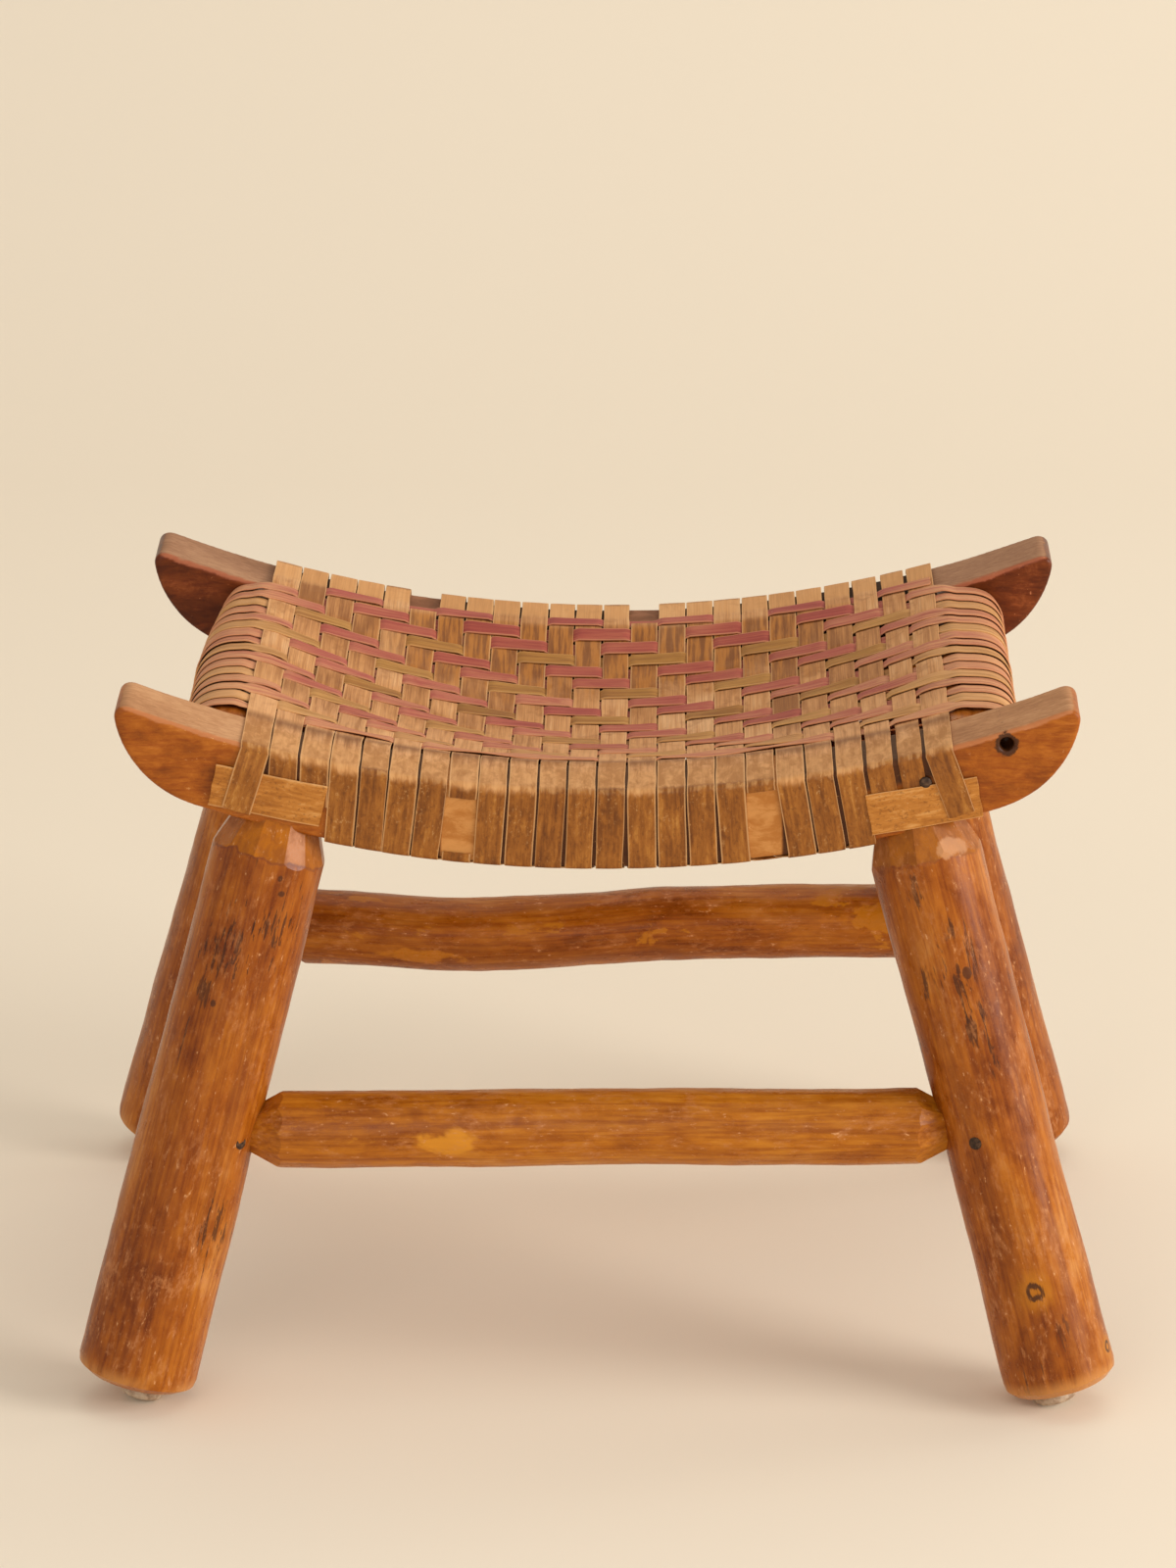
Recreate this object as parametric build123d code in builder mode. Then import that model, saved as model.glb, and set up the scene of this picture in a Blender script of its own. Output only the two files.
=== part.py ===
from build123d import *
from math import asin, atan2, cos, degrees, hypot, pi, radians, sin, sqrt, tan
import os

os.makedirs("parts", exist_ok=True)

# Rustic stool with a saddle-shaped splint seat. Millimetres, +Z up, +X to the right, and the origin on
# the floor under the middle of the seat. The front is towards -Y.

# Saddle rails: two sawn boards with upswept horns
rail_spacing = 280  # between the middles of the two boards
rail_thickness = 45
saddle_height = 345  # floor to the lowest point of the saddle
saddle_radius = 692  # the sweep sawn on the top and on the underside
board_depth = 43.2
horn_tip_x = 257
horn_start_x = 215  # where the underside turns up to the tip in a rounder arc
horn_tip_round = 6
rail_edge_round = 2
knot_x = 217
knot_below_top = 7.5
knot_hole_radius = 3.8
knot_hole_depth = 12

# Side bars: logs between the rails that the weft splints wrap round
bar_x = 201.5
bar_radius = 22.5
bar_drop = 2  # top of the bar below the line of the saddle
bar_tenon_radius = 11
bar_tenon_length = 25

# Legs: four logs splayed both ways, with whittled tops and a round tenon in the rail. Each axis meets
# the underside of its rail at the top distance and the floor at the spread and the depth.
leg_top_x = {"front_left": 171, "front_right": 171, "rear_left": 175, "rear_right": 169}
foot_spread_x = {"front_left": 255, "front_right": 257, "rear_left": 263.5, "rear_right": 253.5}
foot_depth_y = 183
leg_foot_radius = {"front_left": 33.2, "front_right": 31, "rear_left": 32, "rear_right": 30.5}
leg_waist_radius = {"front_left": 32, "front_right": 29.2, "rear_left": 31.5, "rear_right": 29.2}
leg_top_radius = {"front_left": 30.8, "front_right": 30.2, "rear_left": 30.8, "rear_right": 30.2}
leg_face_radius = 25
leg_bevel_height = 6
leg_whittle_length = 20
leg_widest_below = 38  # from the rail down to where the log stops widening
leg_neck_radius = 22
leg_tenon_radius = 13
leg_tenon_length = 28
whittle_flats = 9
leg_flat_turn_share = 0.3  # of the angle between two flats
stretcher_flat_turn_share = 0.5

# Stretchers: logs with whittled ends and round tenons in the legs, their axes at a height on each leg
stretcher_height = {"front_left": 151.2, "front_right": 155.3, "rear_left": 151, "rear_right": 151}
stretcher_radius = {"front": 20.7, "rear": 21.8}
rear_stretcher_crook = 8  # how far the crooked log dips
crook_place_shares = (0.30, 0.62)  # of the span between the legs' axes
crook_bend_share = 0.45  # of the shorter run beside a bend
stretcher_whittle_length = 14
stretcher_neck_radius = 12.5
stretcher_tenon_radius = 10.5
stretcher_tenon_length = 24

# Nails that pin the stretcher tenons, by their turn round the leg from straight outward
pin_turn = {"front_left": 50, "front_right": 25, "rear_left": 30, "rear_right": 30}
pin_radius = 1.6
pin_length = 38
pin_head_radius = 3.5
pin_head_height = 1.2

# Nail-on glides, worn flat where they meet the floor
glide_radius = 11.5
glide_height = 10
glide_inset = 6  # from the middle of the foot towards the middle of the stool
glide_wear = 1.5
glide_round = 2.5
glide_nail_radius = 1.3
glide_nail_head_radius = 4
glide_nail_head_height = 1.4
glide_nail_seat = 3  # plastic under the nail's head
glide_nail_length = 22

# Splints of the seat
splint_thickness = 1
layer_gap = 0.2
warp_count = 24
warp_pitch = 15.8
warp_width = 14.4
sag_depth = 15.3  # of the middle of the seat below the rails
weft_count = 17
weft_width_share = 0.863  # of the pitch, which fills the room between the rails
weft_rear_gap = 2.5  # between the rear rail and the first weft loop
weft_front_gap = 12  # between the last weft loop and the front rail
top_weft_inset = 2.5  # of the weft on the rear rail from that rail's inner edge
corner_warps = 3  # at each side, cut short because the legs are in the way
short_warp_end = 12  # below the middle of the board's face
corner_strip_width = 22
corner_strip_drop = 3  # of its middle below the middle of the board
break_length_share = 0.8  # of the board's thickness or depth that a broken splint leaves bare
rear_breaks = (5, 13)  # warp splints broken over the rear rail
front_breaks = (7, 17)  # warp splints broken on the front face

# Clearances
joint_clearance = 0.1  # round a tenon or a nail
tenon_end_gap = 0.4
overrun = 5  # how far a cutting shape passes its surface

# Heights and planes that follow from the sizes above
underside_height = saddle_height - board_depth
inner_y = (rail_spacing - rail_thickness) / 2
outer_y = (rail_spacing + rail_thickness) / 2
weft_span = 2 * inner_y - weft_rear_gap - weft_front_gap
weft_pitch = weft_span / (weft_count - 2 + weft_width_share)
weft_width = weft_pitch * weft_width_share
corners = {"front_left": (-1, -1), "front_right": (1, -1), "rear_left": (-1, 1), "rear_right": (1, 1)}
ends = {"front": -1, "rear": 1}
sides = {"left": -1, "right": 1}


def save(piece, name):
    piece.part.label = name
    export_step(piece.part, f"parts/{name}.step")


def saddle(x, middle_height):
    """Height of a saddle line at x, from its height at the middle of the seat."""
    return middle_height + saddle_radius - sqrt(saddle_radius**2 - x**2)


# Legs


def leg_top_height(corner):
    return saddle(leg_top_x[corner], underside_height)


def leg_point(corner, height):
    """The point of a leg's axis at a height above the floor."""
    side, end = corners[corner]
    share = height / leg_top_height(corner)
    x = foot_spread_x[corner] + (leg_top_x[corner] - foot_spread_x[corner]) * share
    y = foot_depth_y + (rail_spacing / 2 - foot_depth_y) * share
    return Vector(side * x, end * y, height)


def foot_plane(corner):
    """The foot's end face: its X points outward and its Z up the leg's axis."""
    floor_point = leg_point(corner, 0)
    axis = (leg_point(corner, leg_top_height(corner)) - floor_point).normalized()
    lean = hypot(axis.X, axis.Y)
    face_height = (glide_inset + glide_radius) * lean + glide_height * axis.Z - glide_wear
    return Plane(origin=leg_point(corner, face_height), x_dir=(-axis.X, -axis.Y, 0), z_dir=axis)


def side_plane(plane, height):
    """A plane through the axis of another one, with its own Y along that axis."""
    return Plane(origin=plane.origin + plane.z_dir * height, x_dir=plane.x_dir, z_dir=-plane.y_dir)


def leg_reach(corner):
    return (leg_point(corner, leg_top_height(corner)) - foot_plane(corner).origin).length


def leg_log(corner):
    """The whole log of a leg, past the underside of the rail."""
    plane = foot_plane(corner)
    reach = leg_reach(corner)
    widest_height = reach - leg_widest_below
    with BuildPart() as log:
        with BuildSketch(side_plane(plane, 0)):
            with BuildLine():
                Polyline(
                    (0, 0),
                    (leg_face_radius, 0),
                    (leg_foot_radius[corner], leg_bevel_height),
                    (leg_waist_radius[corner], (leg_bevel_height + widest_height) / 2),
                    (leg_top_radius[corner], widest_height),
                    (leg_top_radius[corner], reach + leg_whittle_length),
                    (0, reach + leg_whittle_length),
                    close=True,
                )
            make_face()
        revolve(axis=Axis(plane.origin, plane.z_dir))
    return log.part


def whittle_planes(plane, start_radius, neck_radius, length, turn):
    """The flats of a whittled end that starts at a plane and narrows along its Z."""
    planes = []
    for index in range(whittle_flats):
        angle = 2 * pi * (index + turn) / whittle_flats
        radial = plane.x_dir * cos(angle) + plane.y_dir * sin(angle)
        normal = radial * length + plane.z_dir * (start_radius - neck_radius)
        planes.append(Plane(origin=plane.origin + radial * start_radius, z_dir=normal))
    return planes


def pin_plane(corner):
    """Seat of the outer face of a pin's head, with its Z pointing out of the leg."""
    side, end = corners[corner]
    turn = radians(pin_turn[corner])
    outward = Vector(-side * sin(turn), end * cos(turn), 0)
    axis_point = leg_point(corner, stretcher_height[corner])
    return Plane(origin=axis_point + outward * leg_waist_radius[corner], z_dir=outward)


# Stretchers run between the axes of two legs, and the rear one dips in a long crook


def stretcher_path(end):
    """Points of a stretcher's axis, from the left leg to the right one."""
    left = leg_point(f"{end}_left", stretcher_height[f"{end}_left"])
    right = leg_point(f"{end}_right", stretcher_height[f"{end}_right"])
    if end == "front":
        return [left, right]
    dip_share, rise_share = crook_place_shares
    span = right - left
    dip = left + span * dip_share - Vector(0, 0, rear_stretcher_crook)
    return [left, dip, left + span * rise_share, right]


def tenon_plane(corner):
    """Plane across a stretcher where it enters a leg, with its Z pointing into the leg."""
    end, side = corner.split("_")
    points = stretcher_path(end)
    tip, neighbour = (points[0], points[1]) if side == "left" else (points[-1], points[-2])
    outward = (tip - neighbour).normalized()
    return Plane(origin=tip - outward * leg_waist_radius[corner], z_dir=outward)


def bar_centre(side):
    return (sides[side] * bar_x, saddle(bar_x, saddle_height) - bar_drop - bar_radius)


# Rails

for end, direction in ends.items():
    rail_plane = Plane.XZ.offset(-direction * rail_spacing / 2)
    inner_face = Plane(origin=(0, direction * inner_y, 0), x_dir=(1, 0, 0), z_dir=(0, direction, 0))
    tip_height = saddle(horn_tip_x, saddle_height)
    start_height = saddle(horn_start_x, underside_height)
    centre_rise = sqrt(saddle_radius**2 - horn_start_x**2)
    with BuildPart() as rail:
        with BuildSketch(rail_plane) as board:
            with BuildLine():
                ThreePointArc((-horn_tip_x, tip_height), (0, saddle_height), (horn_tip_x, tip_height))
                ThreePointArc(
                    (-horn_start_x, start_height), (0, underside_height), (horn_start_x, start_height)
                )
                for hand in sides.values():
                    TangentArc(
                        (hand * horn_start_x, start_height),
                        (hand * horn_tip_x, tip_height),
                        tangent=(hand * centre_rise, horn_start_x),
                    )
            make_face()
            tips = board.vertices().group_by(Axis.X)
            fillet(tips[0] + tips[-1], radius=horn_tip_round)
        extrude(amount=rail_thickness / 2, both=True)
        board_faces = rail.faces().filter_by(Axis.Y)
        fillet(board_faces.edges(), radius=rail_edge_round)
        for side in sides:
            with BuildSketch(Plane.XZ.offset(-direction * inner_y)):
                with Locations(bar_centre(side)):
                    Circle(bar_tenon_radius + joint_clearance)
            extrude(amount=-direction * (bar_tenon_length + tenon_end_gap), mode=Mode.SUBTRACT)
            foot = foot_plane(f"{end}_{side}")
            reach = leg_reach(f"{end}_{side}")
            with BuildSketch(foot.offset(reach - leg_whittle_length)):
                Circle(leg_tenon_radius + joint_clearance)
            extrude(amount=leg_whittle_length + leg_tenon_length + tenon_end_gap, mode=Mode.SUBTRACT)
        if end == "front":
            knot_height = saddle(knot_x, saddle_height) - knot_below_top
            with BuildSketch(Plane.XZ.offset(outer_y)):
                with Locations((knot_x, knot_height)):
                    Circle(knot_hole_radius)
            extrude(amount=-knot_hole_depth, mode=Mode.SUBTRACT)
    save(rail, f"{end}_rail")

# Side bars

for side in sides:
    with BuildPart() as side_bar:
        with BuildSketch(Plane.XZ):
            with Locations(bar_centre(side)):
                Circle(bar_radius)
        extrude(amount=inner_y, both=True)
        with BuildSketch(Plane.XZ):
            with Locations(bar_centre(side)):
                Circle(bar_tenon_radius)
        extrude(amount=inner_y + bar_tenon_length, both=True)
    save(side_bar, f"{side}_side_bar")

# Legs, each trimmed to the curved underside of its rail

for corner in corners:
    foot = foot_plane(corner)
    reach = leg_reach(corner)
    tenon = tenon_plane(corner)
    pin = pin_plane(corner)
    glide_seat = foot.from_local_coords((-glide_inset, 0, 0))
    with BuildPart() as leg:
        add(leg_log(corner))
        whittle_start = foot.offset(reach - leg_whittle_length)
        flats = whittle_planes(
            whittle_start,
            leg_top_radius[corner],
            leg_neck_radius,
            leg_whittle_length,
            leg_flat_turn_share,
        )
        for flat in flats:
            split(bisect_by=flat, keep=Keep.BOTTOM)
        with BuildSketch(Plane.XZ):
            with BuildLine():
                edge_height = saddle(horn_tip_x, underside_height)
                ThreePointArc((-horn_tip_x, edge_height), (0, underside_height), (horn_tip_x, edge_height))
                Polyline(
                    (horn_tip_x, edge_height),
                    (horn_tip_x, edge_height + saddle_height),
                    (-horn_tip_x, edge_height + saddle_height),
                    (-horn_tip_x, edge_height),
                )
            make_face()
        extrude(amount=foot_depth_y + leg_foot_radius[corner], both=True, mode=Mode.SUBTRACT)
        with BuildSketch(foot.offset(reach - leg_whittle_length)):
            Circle(leg_tenon_radius)
        extrude(amount=leg_whittle_length + leg_tenon_length)
        with BuildSketch(tenon.offset(-stretcher_whittle_length)):
            Circle(stretcher_tenon_radius + joint_clearance)
        extrude(
            amount=stretcher_whittle_length + stretcher_tenon_length + tenon_end_gap, mode=Mode.SUBTRACT
        )
        with BuildSketch(pin):
            Circle(pin_radius + joint_clearance)
        extrude(amount=-pin_length - tenon_end_gap, mode=Mode.SUBTRACT)
        with BuildSketch(pin.offset(-pin_head_height - joint_clearance)):
            Circle(pin_head_radius + joint_clearance)
        extrude(amount=overrun, mode=Mode.SUBTRACT)
        with BuildSketch(Plane(origin=glide_seat, z_dir=foot.z_dir)):
            Circle(glide_nail_radius + joint_clearance)
        extrude(amount=glide_nail_length, mode=Mode.SUBTRACT)
    save(leg, f"{corner}_leg")

# Stretchers, with their ends trimmed to the legs' round sides

for end in ends:
    radius = stretcher_radius[end]
    points = stretcher_path(end)
    with BuildPart() as stretcher:
        with BuildLine() as log_axis:
            if len(points) == 2:
                Line(points)
            else:
                runs = [(b - a).length for a, b in zip(points, points[1:])]
                turns = [
                    radians((b - a).get_angle(c - b)) for a, b, c in zip(points, points[1:], points[2:])
                ]
                bends = [
                    crook_bend_share * min(runs[index], runs[index + 1]) / tan(turn / 2)
                    for index, turn in enumerate(turns)
                ]
                FilletPolyline(*points, radius=bends)
        with BuildSketch(Plane(origin=points[0], z_dir=points[1] - points[0])):
            Circle(radius)
        sweep()
        for side in sides:
            tenon = tenon_plane(f"{end}_{side}")
            whittle_start = tenon.offset(-stretcher_whittle_length)
            flats = whittle_planes(
                whittle_start,
                radius,
                stretcher_neck_radius,
                stretcher_whittle_length,
                stretcher_flat_turn_share,
            )
            for flat in flats:
                split(bisect_by=flat, keep=Keep.BOTTOM)
            add(leg_log(f"{end}_{side}"), mode=Mode.SUBTRACT)
        for side in sides:
            tenon = tenon_plane(f"{end}_{side}")
            with BuildSketch(tenon.offset(-stretcher_whittle_length)):
                Circle(stretcher_tenon_radius)
            extrude(amount=stretcher_whittle_length + stretcher_tenon_length)
            with BuildSketch(pin_plane(f"{end}_{side}")):
                Circle(pin_radius + joint_clearance)
            extrude(amount=-pin_length - tenon_end_gap, mode=Mode.SUBTRACT)
    save(stretcher, f"{end}_stretcher")

# Glides, cut by the floor where they are worn

for corner in corners:
    foot = foot_plane(corner)
    seat = foot.from_local_coords((-glide_inset, 0, 0))
    under = Plane(origin=seat, x_dir=foot.x_dir, z_dir=-foot.z_dir)
    head_depth = glide_height - glide_nail_seat - glide_nail_head_height
    with BuildPart() as glide:
        with BuildSketch(under):
            Circle(glide_radius)
        extrude(amount=glide_height)
        fillet(glide.faces().sort_by(Axis(under.origin, under.z_dir))[-1].edges(), radius=glide_round)
        with BuildSketch(under):
            Circle(glide_nail_radius + joint_clearance)
        extrude(amount=head_depth + glide_nail_head_height, mode=Mode.SUBTRACT)
        with BuildSketch(under.offset(head_depth - joint_clearance)):
            Circle(glide_nail_head_radius + joint_clearance)
        extrude(amount=glide_nail_head_height + 2 * joint_clearance, mode=Mode.SUBTRACT)
        split(bisect_by=Plane.XY, keep=Keep.TOP)
    save(glide, f"{corner}_glide")

# Nails: four pins through the stretcher tenons and four in the glides

with BuildPart() as nails:
    for corner in corners:
        pin = pin_plane(corner)
        with BuildSketch(pin):
            Circle(pin_head_radius)
        extrude(amount=-pin_head_height)
        with BuildSketch(pin):
            Circle(pin_radius)
        extrude(amount=-pin_length)
        foot = foot_plane(corner)
        seat = foot.from_local_coords((-glide_inset, 0, 0))
        head_depth = glide_height - glide_nail_seat - glide_nail_head_height
        head_top = Plane(origin=seat, z_dir=-foot.z_dir).offset(head_depth)
        with BuildSketch(head_top):
            Circle(glide_nail_head_radius)
        extrude(amount=glide_nail_head_height)
        with BuildSketch(head_top):
            Circle(glide_nail_radius)
        extrude(amount=-glide_nail_length + glide_nail_seat)
save(nails, "nails")

# Splint seat. The warps run from front to back and sag between the rails, and the wefts step over and
# under them in a 2/2 twill that moves one warp to the right with each row.

outer_warp_x = (warp_count - 1) / 2 * warp_pitch
weft_room = splint_thickness + 2 * layer_gap  # under the warps on the rear rail


def warp_x(index):
    return (index - (warp_count - 1) / 2) * warp_pitch


def sag(x):
    """How far the seat hangs below the rails half-way between them."""
    return sag_depth * max(0, 1 - (x / outer_warp_x) ** 2)


def seat_height(x, y):
    """Height of the underside of the warps on top of the seat."""
    level = saddle(x, saddle_height) + layer_gap
    lift = weft_room * min(1, (y + inner_y) / (2 * inner_y))
    if y > inner_y:
        return level + lift
    return level + lift - (sag(x) + weft_room / 2) * (1 - (y / inner_y) ** 2)


def warp_outline(x, offset):
    """Corners of a warp's loop in Y and Z at x, and the lowest point of its top run."""
    top = saddle(x, saddle_height) + layer_gap + offset
    bottom = saddle(x, underside_height) - layer_gap - offset
    face = outer_y + layer_gap + offset
    corners_yz = [
        (inner_y, top + weft_room),
        (face, top + weft_room),
        (face, bottom),
        (-face, bottom),
        (-face, top),
        (-inner_y, top),
    ]
    return corners_yz, (0, top - sag(x))


def warp_loop(index, offset):
    """Solid inside one surface of a warp's loop."""
    with BuildPart() as loop:
        for edge in (-warp_width / 2, warp_width / 2):
            x = warp_x(index) + edge
            corners_yz, lowest = warp_outline(x, offset)
            with BuildSketch(Plane.YZ.offset(x)):
                with BuildLine():
                    FilletPolyline(*corners_yz, radius=rail_edge_round + offset)
                    ThreePointArc(corners_yz[-1], lowest, corners_yz[0])
                make_face()
        loft(ruled=True)
    return loop.part


for index in range(warp_count):
    x = warp_x(index)
    face_middle = saddle(x, (saddle_height + underside_height) / 2)
    from_side = min(index, warp_count - 1 - index)
    with BuildPart() as warp:
        add(warp_loop(index, splint_thickness))
        add(warp_loop(index, 0), mode=Mode.SUBTRACT)
        if from_side == 0:
            face_end = saddle(abs(x) + warp_width / 2, underside_height) + rail_edge_round
            split(bisect_by=Plane.XY.offset(face_end), keep=Keep.TOP)
        elif from_side < corner_warps:
            split(bisect_by=Plane.XY.offset(face_middle - short_warp_end), keep=Keep.TOP)
        if index in rear_breaks:
            with BuildSketch(Plane.XY.offset(face_middle)):
                with Locations((x, rail_spacing / 2)):
                    Rectangle(warp_pitch, rail_thickness * break_length_share)
            extrude(amount=board_depth, mode=Mode.SUBTRACT)
        if index in front_breaks:
            with BuildSketch(Plane.XZ.offset(rail_spacing / 2)):
                with Locations((x, face_middle)):
                    Rectangle(warp_pitch, board_depth * break_length_share)
            extrude(amount=rail_thickness, mode=Mode.SUBTRACT)
    save(warp, f"warp_splint_{index:02d}")


def is_over(index, row):
    """Whether a weft row passes over a warp."""
    return (index - row - 1) % 4 < 2


def woven_line(row, warps, height_at, passes_over, direction, outer):
    """One surface of a weft across some warps, as points from left to right in X and Z.

    The direction is 1 on top of the seat and -1 underneath, where over means below the warps.
    """
    half_wall = splint_thickness / 2
    over_level = splint_thickness + layer_gap + (splint_thickness if outer else 0)
    under_level = -layer_gap - (0 if outer else splint_thickness)
    levels = [over_level if passes_over(index, row) else under_level for index in warps]
    places = [warp_x(index) - warp_pitch / 2 for index in warps] + [warp_x(warps[-1]) + warp_pitch / 2]
    points = [(places[0], height_at(places[0]) + direction * levels[0])]
    for place, before, after in zip(places[1:-1], levels, levels[1:]):
        shift = 0
        if before != after:
            shift = half_wall if (before > after) == outer else -half_wall
        points.append((place + shift, height_at(place + shift) + direction * before))
        if before != after:
            points.append((place + shift, height_at(place + shift) + direction * after))
    points.append((places[-1], height_at(places[-1]) + direction * levels[-1]))
    return points


def weft_y(row):
    if row == 1:
        return inner_y + top_weft_inset + weft_width / 2
    return inner_y - weft_rear_gap - weft_width / 2 - (row - 2) * weft_pitch


def weft_loop(row, outer):
    """Solid inside one surface of a weft's loop round the side bars."""
    long_warps = range(corner_warps, warp_count - corner_warps)
    clear = bar_radius + layer_gap + (splint_thickness if outer else 0)
    left_x, bar_height = bar_centre("left")
    with BuildPart() as loop:
        for edge in (-weft_width / 2, weft_width / 2):
            y = weft_y(row) + edge
            top = woven_line(row, range(warp_count), lambda x: seat_height(x, y), is_over, 1, outer)
            bottom = woven_line(
                row,
                long_warps,
                lambda x: saddle(x, underside_height) - layer_gap,
                is_over,
                -1,
                outer,
            )
            bottom.reverse()
            left_out = left_x - clear
            low = bar_height - clear
            diagonal = clear * sin(pi / 4)
            with BuildSketch(Plane.XZ.offset(-y)):
                with BuildLine():
                    Polyline(top)
                    TangentArc((-left_out, bar_height), top[-1], tangent=(0, 1))
                    ThreePointArc(
                        (-left_out, bar_height), (-left_x + diagonal, bar_height - diagonal), (-left_x, low)
                    )
                    Polyline([(-left_x, low)] + bottom + [(left_x, low)])
                    ThreePointArc(
                        (left_x, low), (left_x - diagonal, bar_height - diagonal), (left_out, bar_height)
                    )
                    TangentArc((left_out, bar_height), top[0], tangent=(0, 1))
                make_face()
        loft(ruled=True)
    return loop.part


for row in range(1, weft_count + 1):
    with BuildPart() as weft:
        if row == 1:
            for edge in (-weft_width / 2, weft_width / 2):
                y = weft_y(row) + edge
                upper = woven_line(row, range(warp_count), lambda x: seat_height(x, y), is_over, 1, True)
                lower = woven_line(row, range(warp_count), lambda x: seat_height(x, y), is_over, 1, False)
                with BuildSketch(Plane.XZ.offset(-y)):
                    with BuildLine():
                        Polyline(upper + lower[::-1], close=True)
                    make_face()
            loft(ruled=True)
        else:
            add(weft_loop(row, True))
            add(weft_loop(row, False), mode=Mode.SUBTRACT)
    save(weft, f"weft_splint_{row:02d}")

# Corner strips, over the short warps on the rails' outer faces

for end, direction in ends.items():
    for side, hand in sides.items():
        first_x = warp_x(warp_count - corner_warps) - warp_width / 2
        last_x = warp_x(warp_count - 2) + warp_width / 2
        strip_face = outer_y + 2 * layer_gap + splint_thickness
        middle = (saddle_height + underside_height) / 2 - corner_strip_drop
        half_width = corner_strip_width / 2
        with BuildPart() as strip:
            with BuildSketch(Plane.XZ.offset(-direction * strip_face)):
                with BuildLine():
                    Polyline(
                        (hand * first_x, saddle(first_x, middle) - half_width),
                        (hand * last_x, saddle(last_x, middle) - half_width),
                        (hand * last_x, saddle(last_x, middle) + half_width),
                        (hand * first_x, saddle(first_x, middle) + half_width),
                        close=True,
                    )
                make_face()
            extrude(amount=-direction * splint_thickness)
        save(strip, f"{end}_{side}_corner_strip")
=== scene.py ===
import math
import random

import bmesh
import bpy
from mathutils import Matrix, Vector, noise


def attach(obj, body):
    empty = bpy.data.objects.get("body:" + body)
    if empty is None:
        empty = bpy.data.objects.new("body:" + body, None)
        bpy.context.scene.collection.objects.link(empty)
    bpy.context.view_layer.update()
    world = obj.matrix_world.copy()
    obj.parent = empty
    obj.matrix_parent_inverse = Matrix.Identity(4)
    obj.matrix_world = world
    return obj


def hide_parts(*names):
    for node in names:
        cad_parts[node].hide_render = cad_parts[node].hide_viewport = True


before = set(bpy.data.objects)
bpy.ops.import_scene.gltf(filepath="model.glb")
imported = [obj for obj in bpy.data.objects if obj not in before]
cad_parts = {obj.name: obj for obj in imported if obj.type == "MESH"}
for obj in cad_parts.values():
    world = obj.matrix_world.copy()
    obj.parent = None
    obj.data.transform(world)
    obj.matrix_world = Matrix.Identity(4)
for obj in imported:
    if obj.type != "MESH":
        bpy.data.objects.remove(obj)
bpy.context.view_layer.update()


# Small helpers

def clearSelection():
    if bpy.context.object and bpy.context.object.mode != "OBJECT":
        bpy.ops.object.mode_set(mode="OBJECT")
    bpy.ops.object.select_all(action="DESELECT")


def pickUp(piece):
    clearSelection()
    piece.select_set(True)
    bpy.context.view_layer.objects.active = piece


def applyModifier(piece, kind, **settings):
    pickUp(piece)
    modifier = piece.modifiers.new(kind.title(), kind)
    for key, value in settings.items():
        setattr(modifier, key, value)
    bpy.ops.object.modifier_apply(modifier=modifier.name)


def smoothShade(piece, degrees):
    pickUp(piece)
    bpy.ops.object.shade_smooth_by_angle(angle=math.radians(degrees))


def rough(place, size, seed):
    point = Vector(place) / size
    return noise.noise(point + Vector((seed * 7.31, seed * 3.17, seed * 5.93)))


def smoothStep(value):
    value = min(1, max(0, value))
    return value * value * (3 - 2 * value)


def srgb(red, green, blue, alpha=1):
    def linear(level):
        level /= 255
        return level / 12.92 if level <= 0.04045 else ((level + 0.055) / 1.055) ** 2.4

    return (linear(red), linear(green), linear(blue), alpha)


# Node helpers: every value may be a number, a colour or another node's output

def feed(tree, socket, value):
    if isinstance(value, bpy.types.NodeSocket):
        tree.links.new(value, socket)
    elif value is not None:
        socket.default_value = value


def calc(tree, operation, *terms):
    made = tree.nodes.new("ShaderNodeMath")
    made.operation = operation
    for socket, term in zip(made.inputs, terms):
        feed(tree, socket, term)
    return made.outputs[0]


def plus(tree, first, second):
    return calc(tree, "ADD", first, second)


def minus(tree, first, second):
    return calc(tree, "SUBTRACT", first, second)


def times(tree, first, second):
    return calc(tree, "MULTIPLY", first, second)


def unsigned(tree, value):
    return calc(tree, "ABSOLUTE", value)


def mixUp(tree, *parts):
    # parts are values with their shares
    total = times(tree, *parts[0])
    for part in parts[1:]:
        total = plus(tree, total, times(tree, *part))
    return total


def spread(tree, value, size):
    # a noise around 0.5 made a shift around zero
    return times(tree, minus(tree, value, 0.5), size)


def remap(tree, value, low, high, newLow=0.0, newHigh=1.0):
    made = tree.nodes.new("ShaderNodeMapRange")
    made.interpolation_type = "SMOOTHSTEP"
    for socket, term in zip(made.inputs, (value, low, high, newLow, newHigh)):
        feed(tree, socket, term)
    return made.outputs[0]


def blendColour(tree, factor, first, second, way="MIX"):
    made = tree.nodes.new("ShaderNodeMix")
    made.data_type = "RGBA"
    made.blend_type = way
    feed(tree, made.inputs[0], factor)
    feed(tree, made.inputs[6], first)
    feed(tree, made.inputs[7], second)
    return made.outputs[2]


def stretch(tree, vector, scale, place=(0, 0, 0)):
    made = tree.nodes.new("ShaderNodeMapping")
    feed(tree, made.inputs["Vector"], vector)
    made.inputs["Location"].default_value = place
    made.inputs["Scale"].default_value = scale
    return made.outputs[0]


def cloud(tree, vector, scale, detail=4.0, roughness=0.55, distortion=0.0):
    made = tree.nodes.new("ShaderNodeTexNoise")
    feed(tree, made.inputs["Vector"], vector)
    made.inputs["Scale"].default_value = scale
    made.inputs["Detail"].default_value = detail
    made.inputs["Roughness"].default_value = roughness
    made.inputs["Distortion"].default_value = distortion
    return made.outputs[0]


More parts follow.
